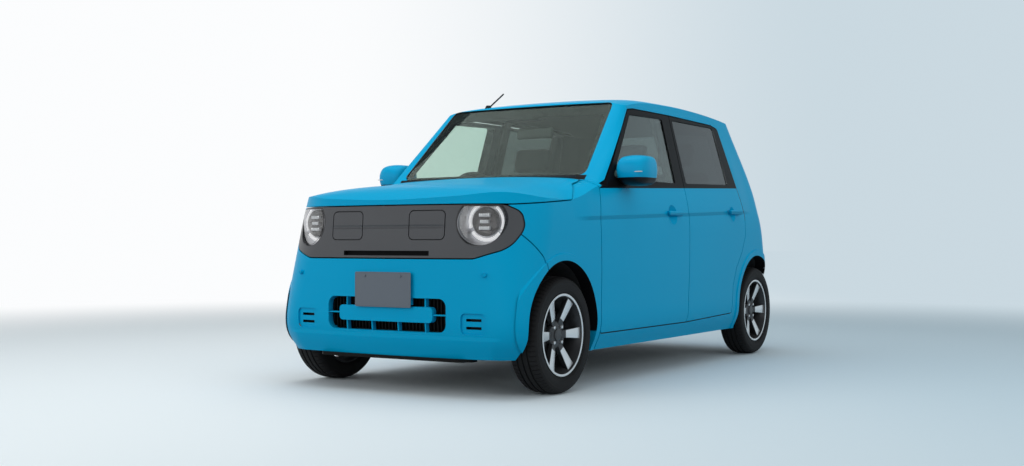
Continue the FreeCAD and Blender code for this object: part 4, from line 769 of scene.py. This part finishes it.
cone_profile = [(depth, small - BOWL_PLAY), (mouth, large - BOWL_PLAY), (mouth, large - LINER),
                (depth + LINER, small - LINER), (depth + LINER, CONE_HOLE), (depth, CONE_HOLE)]
for side, name in SIDES:
    cone = spun(f"lamp_cone_{name}", closed(cone_profile), LENS_SIDES)
    into_lamp(cone, side, BOWL_TURN)
    finish(cone, "body_shell", reflector)
    disc = spun(f"lamp_disc_{name}", [(depth, 0.0), (depth, DISC_RADIUS), *DISC_PROFILE], 64)
    into_lamp(disc, side, BOWL_TURN)
    finish(disc, "body_shell", lamp_black)
    guides = []
    for start, end, thick in GUIDE_ARCS:
        corners = [(depth, -thick), (GUIDE_FRONT, -thick), (GUIDE_CREST, 0.0),
                   (GUIDE_FRONT, thick), (depth, thick)]
        arc = spun("guide_arc", closed([(x, GUIDE_RADIUS + r) for x, r in corners]), 40, end - start)
        y, z = (sum(vertex.co[axis] for vertex in arc.data.vertices) for axis in (1, 2))
        middle = math.radians((start + end) / 2)
        if side < 0:
            middle = math.pi - middle
        arc.data.transform(Matrix.Rotation(middle - math.atan2(z, y), 4, "X"))
        guides.append(arc)
    guide = join(guides, f"light_guide_{name}")
    into_lamp(guide, side, BOWL_TURN)
    finish(guide, "body_shell", guide_painted_glow)
    cells = []
    for height, wide in CELL_ROWS:
        for i in range(CELLS):
            across = (i - (CELLS - 1) / 2) * wide / CELLS
            size = (CELL_SIZE[0], wide / CELLS - CELL_GAP, CELL_SIZE[1])
            cells.append(block("lamp_cell", (CELL_DEPTH, across, height), size, 0.002, 2))
    cell_stack = join(cells, f"lamp_cells_{name}")
    into_lamp(cell_stack, side, BOWL_TURN)
    finish(cell_stack, "body_shell", cell_clear)
    points, faces = [(LENS_BULGE, 0.0, 0.0)], []
    for ring in range(1, LENS_RINGS + 1):
        for i in range(LENS_SIDES):
            angle = 2 * math.pi * i / LENS_SIDES
            y, z = (LENS_RADIUS * ring / LENS_RINGS * f(angle) for f in (math.cos, math.sin))
            points.append((LENS_BULGE * (1.0 - (y / LENS_RADIUS) ** 2), y, z))
    for i in range(LENS_SIDES):
        after = (i + 1) % LENS_SIDES
        faces.append((0, 1 + i, 1 + after))
        for ring in range(LENS_RINGS - 1):
            a, b = 1 + ring * LENS_SIDES, 1 + (ring + 1) * LENS_SIDES
            faces.append((a + i, b + i, b + after, a + after))
    lens = mesh_piece(f"lamp_lens_{name}", points, faces)
    modify(lens, "SOLIDIFY", thickness=LENS_THICK)
    into_lamp(lens, side, LENS_TURN, LENS_TILT, behind_lens=False)
    finish(lens, "body_shell", lens_clear)

# Number plate: pressed aluminium, blank and grey, with a raised rim, held to the bumper by two
# bolts at the standard 210 mm.
PLATE_SIZE = (0.330, 0.003, 0.165)
PLATE_CORNER = 0.008
PLATE_CORNER_STEPS = 6
PLATE_TURNS = ((0, 1, 1), (90, -1, 1), (180, -1, -1), (270, 1, -1))
PLATE_RIM = 0.004
PLATE_STEP = (0.0012, 0.0008)
PLATE_SHEET = 0.002
BOLT_HALF_PITCH = 0.105
BOLT_DROP = 0.018
BOLT_SIZE = (0.0065, 0.004)
PLATE_COLOUR = (0.105, 0.125, 0.150)
low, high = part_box("number_plate")
centre = (low + high) / 2
plate_grey = moulded("plate_grey", PLATE_COLOUR, (0.112, 0.132, 0.158), 0.4, 600.0, 0.0001)
outline = []
flat_x, flat_z = (PLATE_SIZE[axis] / 2 - PLATE_CORNER for axis in (0, 2))
for turn, x, z in PLATE_TURNS:
    for step in range(PLATE_CORNER_STEPS + 1):
        angle = math.radians(turn + 90.0 * step / PLATE_CORNER_STEPS)
        outline.append((x * flat_x + PLATE_CORNER * math.cos(angle), -PLATE_SIZE[1] / 2,
                        z * flat_z + PLATE_CORNER * math.sin(angle)))
plate = mesh_piece("plate", outline, [tuple(range(len(outline)))])
edit(lambda: bpy.ops.mesh.inset(thickness=PLATE_RIM, depth=0.0),
     lambda: bpy.ops.mesh.inset(thickness=PLATE_STEP[0], depth=-PLATE_STEP[1]))
modify(plate, "SOLIDIFY", thickness=PLATE_SHEET)
put(plate, centre)
finish(plate, "body_shell", plate_grey, 30.0)
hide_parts("number_plate")
for side in (-1, 1):
    bolt = cylinder(6, *BOLT_SIZE, 0.0008)
    bolt.name = f"plate_bolt_{side + 1}"
    bolt.data.transform(Matrix.Rotation(math.pi / 2, 4, "X"))
    put(bolt, (side * BOLT_HALF_PITCH, low.y - BOLT_SIZE[1] / 4, high.z - BOLT_DROP))
    finish(bolt, "body_shell", plate_grey)

# Parking sensors: small round caps in the body colour, pushed through the bumper from behind.
SENSOR_PLACE = (0.545, -1.6585, 0.570)
SENSOR_TURN = math.radians(24.0)
SENSOR_PROFILE = ((-0.02, 0.011), (0.0005, 0.011), (0.0015, 0.0095), (0.0, 0.009), (0.0, 0.0))
for side, name in SIDES:
    sensor = spun(f"parking_sensor_{name}", SENSOR_PROFILE, 32)
    sensor.data.transform(Matrix.Rotation(-math.pi / 2 + side * SENSOR_TURN, 4, "Z"))
    put(sensor, (side * SENSOR_PLACE[0], *SENSOR_PLACE[1:]))
    finish(sensor, "body_shell", blue_paint)

# Tyre: moulded black rubber with three grooves round the tread, cross cuts on both shoulders and
# low rings on the sidewall. One pitch of the tread is modelled and repeated round the wheel.
HALF_TYRE = [
    (0.0555, 0.1890), (0.0590, 0.1925), (0.0640, 0.1955), (0.0700, 0.2030), (0.0735, 0.2110),
    (0.0752, 0.2120), (0.0758, 0.2150), (0.0770, 0.2280), (0.0775, 0.2360), (0.0770, 0.2440),
    (0.0758, 0.2520), (0.0762, 0.2530), (0.0745, 0.2580), (0.0722, 0.2625), (0.0690, 0.2665),
    (0.0640, 0.2700), (0.0585, 0.2728), (0.0520, 0.2748), (0.0440, 0.2763), (0.0345, 0.2773),
    (0.0330, 0.2710), (0.0265, 0.2710), (0.0250, 0.2778), (0.0140, 0.2784), (0.0045, 0.2785),
    (0.0035, 0.2715)]
TREAD_PITCHES = 72
SIPE_DEPTH = 0.0035
SIPE_RIB = 0.0024
SIPE_SLOPE = 0.0003
SHOULDER = (0.0355, 0.0735)
SHOULDER_RADIUS = 0.262
HALF_TRACK = 0.6525
TYRE_RADIUS = 0.2785
WHEEL_CENTRES = {f"{row}_{name}": Vector((side * HALF_TRACK, y, TYRE_RADIUS))
                 for row, y in zip(("front", "rear"), AXLES) for side, name in SIDES}

rubber = moulded("tyre_rubber", (0.007, 0.007, 0.008), (0.012, 0.011, 0.011), 0.7, 300.0, 0.0003,
                 specular=0.25)
profile = HALF_TYRE + [(-x, r) for x, r in reversed(HALF_TYRE)]
pitch = 360.0 / TREAD_PITCHES
tyre = outline_piece("tyre", profile)


def spin_pitch():
    spin(3, pitch)
    bpy.ops.mesh.select_all(action="SELECT")
    bpy.ops.mesh.normals_make_consistent(inside=False)


def repeat_round(count):
    spin(count - 1, 360.0 * (count - 1) / count, copies=True)


edit(spin_pitch)
angles = sorted({round(math.atan2(f.center.y, f.center.z), 4) for f in tyre.data.polygons})
middle = angles[len(angles) // 2]
bpy.ops.object.mode_set(mode="EDIT")
bpy.ops.mesh.select_mode(type="FACE")
bpy.ops.object.mode_set(mode="OBJECT")
for face in tyre.data.polygons:
    x, r = abs(face.center.x), math.hypot(face.center.y, face.center.z)
    central = abs(math.atan2(face.center.y, face.center.z) - middle) < math.radians(pitch) / 100
    face.select = central and SHOULDER[0] < x < SHOULDER[1] and r > SHOULDER_RADIUS
bpy.ops.object.mode_set(mode="EDIT")
bpy.ops.mesh.inset(thickness=SIPE_RIB, depth=0.0, use_boundary=True)
bpy.ops.mesh.inset(thickness=SIPE_SLOPE, depth=-SIPE_DEPTH)
bpy.ops.object.mode_set(mode="OBJECT")
edit(lambda: repeat_round(TREAD_PITCHES), lambda: bpy.ops.mesh.remove_doubles(threshold=0.00002))

# Wheel: a cast alloy rim with six flat spokes, machined bright on their faces and on the lip, and
# dark grey in the pockets and on the hub, with four nuts and a plain cap.
RIM_PROFILE = [
    (0.0655, 0.1835), (0.0690, 0.1850), (0.0708, 0.1880), (0.0713, 0.1935), (0.0700, 0.1960),
    (0.0685, 0.1955), (0.0672, 0.1900), (0.0600, 0.1880), (-0.0600, 0.1880), (-0.0690, 0.1950),
    (-0.0705, 0.1950), (-0.0690, 0.1870), (-0.0560, 0.1800), (-0.0300, 0.1690), (0.0200, 0.1700),
    (0.0450, 0.1770), (0.0655, 0.1835)]
SPOKE_STATIONS = [
    (0.046, 0.0170, 0.014, 0.0330), (0.080, 0.0195, 0.014, 0.0385), (0.120, 0.0230, 0.018, 0.0460),
    (0.158, 0.0265, 0.024, 0.0530), (0.181, 0.0295, 0.030, 0.0590)]
SPOKES = 6
SPOKE_BACK_SHARE = 0.8
HUB_PROFILE = [(0.004, 0.030), (0.004, 0.060), (0.024, 0.064), (0.030, 0.061), (0.033, 0.052), (0.034, 0.038),
               (0.036, 0.031), (0.041, 0.0295), (0.0425, 0.026), (0.0430, 0.014), (0.0430, 0.0)]
NUTS = 4
NUT_SIZE = (0.0085, 0.016)
NUT_DEPTH = 0.036
NUT_CIRCLE = 0.050
NUT_TURN = math.radians(45.0)
BRIGHT_SPOKE = (0.9, 0.066)
BRIGHT_LIP = (0.0662, 0.1845)

pocket_grey = moulded("pocket_grey", (0.055, 0.056, 0.060), (0.07, 0.071, 0.075), 0.38, 500.0, 0.0001, 0.6)


def spoke_mesh():
    points, faces = [], []
    for r, half, back, front in SPOKE_STATIONS:
        root = half * SPOKE_BACK_SHARE
        points += [(back, -root, r), (front, -half, r), (front, half, r), (back, root, r)]
    for i in range(len(SPOKE_STATIONS) - 1):
        a, b = 4 * i, 4 * (i + 1)
        faces += [(a + k, a + (k + 1) % 4, b + (k + 1) % 4, b + k) for k in range(4)]
    last = 4 * (len(SPOKE_STATIONS) - 1)
    return points, faces + [(0, 3, 2, 1), (last, last + 1, last + 2, last + 3)]


barrel = spun("rim", RIM_PROFILE, 96)
spoke = mesh_piece("spoke", *spoke_mesh())
edit(tidy)
modify(spoke, "BEVEL", width=0.0022, segments=2, limit_method="ANGLE", angle_limit=math.radians(40.0))
spoke.data.transform(Matrix.Rotation(math.radians(90.0), 4, "X"))
edit(lambda: repeat_round(SPOKES))
hub = spun("hub", HUB_PROFILE, 64)
nut = cylinder(6, *NUT_SIZE, 0.0015)
nut.data.transform(Matrix.Translation((NUT_DEPTH, 0.0, NUT_CIRCLE)) @ Matrix.Rotation(math.pi / 2, 4, "Y"))
nut.data.transform(Matrix.Rotation(NUT_TURN, 4, "X"))
edit(lambda: repeat_round(NUTS))
for piece in (barrel, spoke, hub, nut):
    piece.data.materials.append(bright_metal)
    piece.data.materials.append(pocket_grey)
    for face in piece.data.polygons:
        x, r = face.center.x, math.hypot(face.center.y, face.center.z)
        bright = piece == nut
        if piece == spoke:
            bright = face.normal.x > BRIGHT_SPOKE[0] and r > BRIGHT_SPOKE[1]
        if piece == barrel:
            bright = x > BRIGHT_LIP[0] and r > BRIGHT_LIP[1]
        face.material_index = 0 if bright else 1
wheel = join([barrel, spoke, hub, nut], "wheel")

# Brake disc: a ring of ground cast iron, seated on the hub just behind the spokes and turning with
# the wheel.
BRAKE_PROFILE = [(0.0005, 0.058), (0.0005, 0.112), (0.0105, 0.112), (0.0105, 0.058)]
brake_iron = moulded("brake_iron", (0.25, 0.25, 0.26), (0.32, 0.32, 0.33), 0.32, 200.0, 0.0002, 1.0)
brake = spun("brake", closed(BRAKE_PROFILE), 72)


def wheel_copy(source, name, body, material, centre, node):
    piece = copy_of(source, name)
    if centre.x < 0:
        piece.data.transform(Matrix.Rotation(math.pi, 4, "Z"))
    put(piece, centre)
    finish(piece, body, material, 35.0)
    if node:
        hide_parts(node)


for key, centre in WHEEL_CENTRES.items():
    row, name = key.split("_")
    body = f"wheel_{key}"
    wheel_copy(tyre, f"tyre_{key}", body, rubber, centre, f"{row}_tyre_{name}")
    wheel_copy(wheel, f"wheel_rim_{key}", body, bright_metal, centre, f"{row}_rim_{name}")
    wheel_copy(brake, f"brake_disc_{key}", body, brake_iron, centre, None)
for source in (tyre, wheel, brake):
    bpy.data.objects.remove(source)

# Door mirrors: a rounded shell in the body colour over a black foot and lower strip, with a
# repeater slit along its front and a silvered glass in its back. Each is screwed to its door.
SHELL_SIZE = Vector((0.186, 0.168, 0.160))
SHELL_CENTRE = Vector((0.771, -0.577, 1.089))
STRIP_LEVEL = 1.050
SLIT_PLACE = (0.822, -0.645, 1.078)
SLIT_SIZE = (0.044, 0.020, 0.005)
FOOT_PLACE = (0.690, -0.560, 1.044)
FOOT_SIZE = (0.105, 0.046, 0.026)
WIDTH_SHARES = (0.16, 0.22)
HEIGHT_SHARES = (0.12, 0.30)
DEPTH_SHARES = (0.16, 0.12)
GLASS_RIM = 0.006
GLASS_STEP = (0.001, 0.008)

material, tree, shader = new_material("mirror_shell")
cloud = use_group(tree, mottle, PAINT_COLOUR, PAINT_SHADE, 3.0, 90.0)
above = use_group(tree, level, STRIP_LEVEL, 0.0, LINE_BLUR)
colour = mix_colour(tree, above.outputs["Mask"], BLACK_TRIM, cloud.outputs["Colour"])
feed(shader, "Base Color", colour)
preset(shader, ("Roughness", 0.4), ("Specular IOR Level", 0.1), ("Coat Weight", 0.15))
mirror_shell = material
mirror_glass = moulded("mirror_glass", (0.80, 0.82, 0.84), (0.78, 0.80, 0.82), 0.09, 300.0, 0.0, 1.0)
slit_white = moulded("repeater", (0.75, 0.74, 0.70), (0.70, 0.68, 0.64), 0.2, 300.0, 0.0)
for side, name in SIDES:
    body = f"door_front_{name}"
    shell = cube(f"mirror_shell_{name}")
    edit(lambda: bpy.ops.mesh.subdivide(number_cuts=3))
    for vertex in shell.data.vertices:
        x, y, z = vertex.co * 2
        front = max(0.0, -y)
        round_x = x * (1.0 - WIDTH_SHARES[0] * z * z) * (1.0 - WIDTH_SHARES[1] * front * front)
        round_z = z * (1.0 - HEIGHT_SHARES[0] * x * x) * (1.0 - HEIGHT_SHARES[1] * front * front)
        deep = y * (1.0 - DEPTH_SHARES[0] * x * x * (y < 0) - DEPTH_SHARES[1] * z * z * (y < 0))
        vertex.co = (round_x * SHELL_SIZE.x / 2, deep * SHELL_SIZE.y / 2, round_z * SHELL_SIZE.z / 2)
    for face in shell.data.polygons:
        face.select = face.normal.y > 0.9
    bpy.ops.object.mode_set(mode="EDIT")
    bpy.ops.mesh.select_mode(type="FACE")
    bpy.ops.mesh.inset(thickness=GLASS_RIM, depth=0.0)
    bpy.ops.mesh.inset(thickness=GLASS_STEP[0], depth=-GLASS_STEP[1])
    bpy.ops.object.mode_set(mode="OBJECT")
    shell.data.materials.append(mirror_shell)
    shell.data.materials.append(mirror_glass)
    for face in shell.data.polygons:
        face.material_index = 1 if face.select and face.normal.y > 0.9 else 0
    modify(shell, "SUBSURF", levels=2, render_levels=2)
    put(shell, (side * SHELL_CENTRE.x, SHELL_CENTRE.y, SHELL_CENTRE.z))
    finish(shell, body, mirror_shell, 60.0)
    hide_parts(f"mirror_{name}")
    foot = block(f"mirror_foot_{name}", (side * FOOT_PLACE[0], *FOOT_PLACE[1:]), FOOT_SIZE, 0.008)
    finish(foot, body, black_plastic)
    slit = block(f"mirror_slit_{name}", (side * SLIT_PLACE[0], *SLIT_PLACE[1:]), SLIT_SIZE, 0.002, 2)
    finish(slit, body, slit_white)

# Steering wheel: a grip wrapped in smooth dark leather over a steel ring, with a padded boss, three
# spokes and a short neck, on the column at the right-hand side of the car. Its blocks stand in that
# order: boss, right, left and lower spoke, neck.
GRIP_RADIUS = 0.014
RING_RADIUS = 0.178
STEERING_TILT = math.radians(24.0)
STEERING_CENTRE = Vector((-0.3245, -0.3701, 0.94245))
STEERING_BLOCKS = (((0.0, 0.0, -0.022), (0.125, 0.105, 0.045), 0.018, 4),
                   ((0.115, 0.0, -0.012), (0.12, 0.030, 0.014), 0.005, 3),
                   ((-0.115, 0.0, -0.012), (0.12, 0.030, 0.014), 0.005, 3),
                   ((0.0, -0.110, -0.012), (0.034, 0.12, 0.014), 0.005, 3),
                   ((0.0, 0.0, -0.045), (0.07, 0.07, 0.03), 0.01, 3))

leather = moulded("wheel_leather", (0.018, 0.018, 0.019), (0.026, 0.025, 0.025), 0.45, 900.0, 0.0003)
bpy.ops.object.select_all(action="DESELECT")
bpy.ops.mesh.primitive_torus_add(
    major_segments=64, minor_segments=14, major_radius=RING_RADIUS, minor_radius=GRIP_RADIUS)
pieces = [bpy.context.active_object]
for place, size, bevel, segments in STEERING_BLOCKS:
    pieces.append(block("steering_block", place, size, bevel, segments))
ring = join(pieces, "steering_ring")
ring.data.transform(Matrix.Rotation(STEERING_TILT - math.pi / 2, 4, "X"))
put(ring, STEERING_CENTRE)
finish(ring, "steering", leather)
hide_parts("steering_wheel")

# Tail lamps: red lenses over a ribbed reflector, set in the rear corners and held from inside.
RED_LIGHT = (0.30, 0.004, 0.006, 1.0)
RED_DEEP = (0.14, 0.002, 0.004, 1.0)

material, tree, shader = new_material("tail_lens")
ribs = add_node(tree, "ShaderNodeTexWave", wave_type="BANDS", bands_direction="Z")
preset(ribs, ("Scale", 30.0))
feed(ribs, "Vector", object_place(tree))
feed(shader, "Base Color", mix_colour(tree, ribs.outputs["Fac"], RED_LIGHT, RED_DEEP))
preset(shader, ("Roughness", 0.2), ("Specular IOR Level", 0.3), ("Coat Weight", 0.4))
dress(material, "tail_lamps")

# Seats: foam cushions and backs under dark woven cloth, crowned, with sewn channels. The front
# pair stand on rails, and the bench is one piece across the car.
CLOTH_COLOUR = (0.050, 0.051, 0.055, 1.0)
CLOTH_SECOND = (0.075, 0.076, 0.080, 1.0)
SEAT_LEAN = math.radians(16.0)
CUSHION_SIZE = (0.50, 0.13)
BACK_SIZE = (0.11, 0.56)
BACK_RISE = 0.28
BACK_SINK = -0.065
BACK_SET = 0.195
HEADREST_SIZE = (0.26, 0.09, 0.17)
HEADREST_RISE = 0.60
PAD_SHRINK = 0.016
PAD_EDGE = 0.03
PUFF_FRAMES = 12
PUFF_PRESSURE = 4.0
PUFF_CAP = 0.016
CHANNEL_SHARE = 0.55
CHANNEL_DEPTH = 0.007
CHANNEL_WIDTH = 0.009
SEAT_X = 0.3245
SEAT_HALF = 0.235
FRONT_SEAT = (-0.1307, 0.5099)
RAIL_OFFSET = 0.18
RAIL_LEVEL = 0.365
RAIL_SIZE = (0.04, 0.40, 0.288)
BENCH_HALF = 0.516
REAR_SEAT = (0.7009, 0.5717)
BENCH_HEAD = 0.258
FOOT_MIDDLE = (0.0, 0.60, 0.396)
FOOT_BLOCK = (0.96, 0.36, 0.35)

material, tree, shader = new_material("seat_cloth")
cloud = use_group(tree, mottle, CLOTH_COLOUR, CLOTH_SECOND, 14.0, 800.0)
weave = add_node(tree, "ShaderNodeTexBrick")
preset(weave, ("Scale", 220.0))
feed(weave, "Vector", object_place(tree))
feed(shader, "Base Color", cloud.outputs["Colour"])
preset(shader, ("Roughness", 0.9), ("Sheen Weight", 0.2))
emboss(tree, shader, weave.outputs["Fac"], 0.0005)
seat_cloth = material


def pad(name, size, channels=()):
    piece = block(name, (0.0, 0.0, 0.0), [length - PAD_SHRINK for length in size], PAD_EDGE)
    modify(piece, "REMESH", mode="VOXEL", voxel_size=0.016)
    rest = [vertex.co.copy() for vertex in piece.data.vertices]
    cloth = piece.modifiers.new("cloth", "CLOTH")
    cloth.settings.use_pressure = True
    cloth.settings.uniform_pressure_force = PUFF_PRESSURE
    cloth.settings.effector_weights.gravity = 0.0
    for number in range(1, PUFF_FRAMES + 1):
        bpy.context.scene.frame_set(number)
    bpy.ops.object.modifier_apply(modifier=cloth.name)
    bpy.context.scene.frame_set(1)
    for vertex, start in zip(piece.data.vertices, rest):
        move = vertex.co - start
        if move.length > PUFF_CAP:
            vertex.co = start + move.normalized() * PUFF_CAP
    modify(piece, "SUBSURF", levels=1, render_levels=1)
    for vertex in piece.data.vertices:
        for line in channels:
            sink = CHANNEL_DEPTH * math.exp(-((vertex.co.x - line) / CHANNEL_WIDTH) ** 2)
            vertex.co -= vertex.co.normalized() * sink
    return piece


def seat_set(prefix, centre_x, half_width, y, z, rests):
    channels = (-CHANNEL_SHARE * half_width, CHANNEL_SHARE * half_width)
    cushion = pad(f"{prefix}_cushion", (2 * half_width, *CUSHION_SIZE), channels)
    put(cushion, (centre_x, y, z + CUSHION_SIZE[1] / 2))
    back = pad(f"{prefix}_back", (2 * half_width, *BACK_SIZE), channels)
    lean = Matrix.Rotation(-SEAT_LEAN, 4, "X")
    drop = Matrix.Translation((0.0, 0.0, BACK_SINK))
    back.data.transform(drop @ lean @ Matrix.Translation((0.0, 0.0, BACK_RISE)))
    hinge = Vector((centre_x, y + BACK_SET, z + CUSHION_SIZE[1]))
    put(back, hinge)
    pieces = [cushion, back]
    for number, x in enumerate(rests):
        head = pad(f"{prefix}_headrest_{number}", HEADREST_SIZE)
        head.data.transform(lean @ Matrix.Translation((0.0, 0.0, HEADREST_RISE)))
        put(head, hinge + Vector((x, 0.0, 0.0)))
        pieces.append(head)
    for piece in pieces:
        finish(piece, "body_shell", seat_cloth, 60.0)
    return pieces


for side, name in SIDES:
    pieces = seat_set(f"front_seat_{name}", side * SEAT_X, SEAT_HALF, *FRONT_SEAT, (0.0,))
    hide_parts("front_seats")
    for edge in (-1, 1):
        place = (side * SEAT_X + edge * RAIL_OFFSET, FRONT_SEAT[0], RAIL_LEVEL)
        rail = block(f"seat_rail_{name}_{edge + 1}", place, RAIL_SIZE, 0.006)
        finish(rail, "body_shell", dark_metal)
pieces = seat_set("rear_seat", 0.0, BENCH_HALF, *REAR_SEAT, (-BENCH_HEAD, BENCH_HEAD))
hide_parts("rear_seat")
bench_foot = block("rear_seat_foot", FOOT_MIDDLE, FOOT_BLOCK, 0.01)
finish(bench_foot, "body_shell", dash_plastic)

# Bounds of the finished model as it renders, the floor left out
low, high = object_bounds()
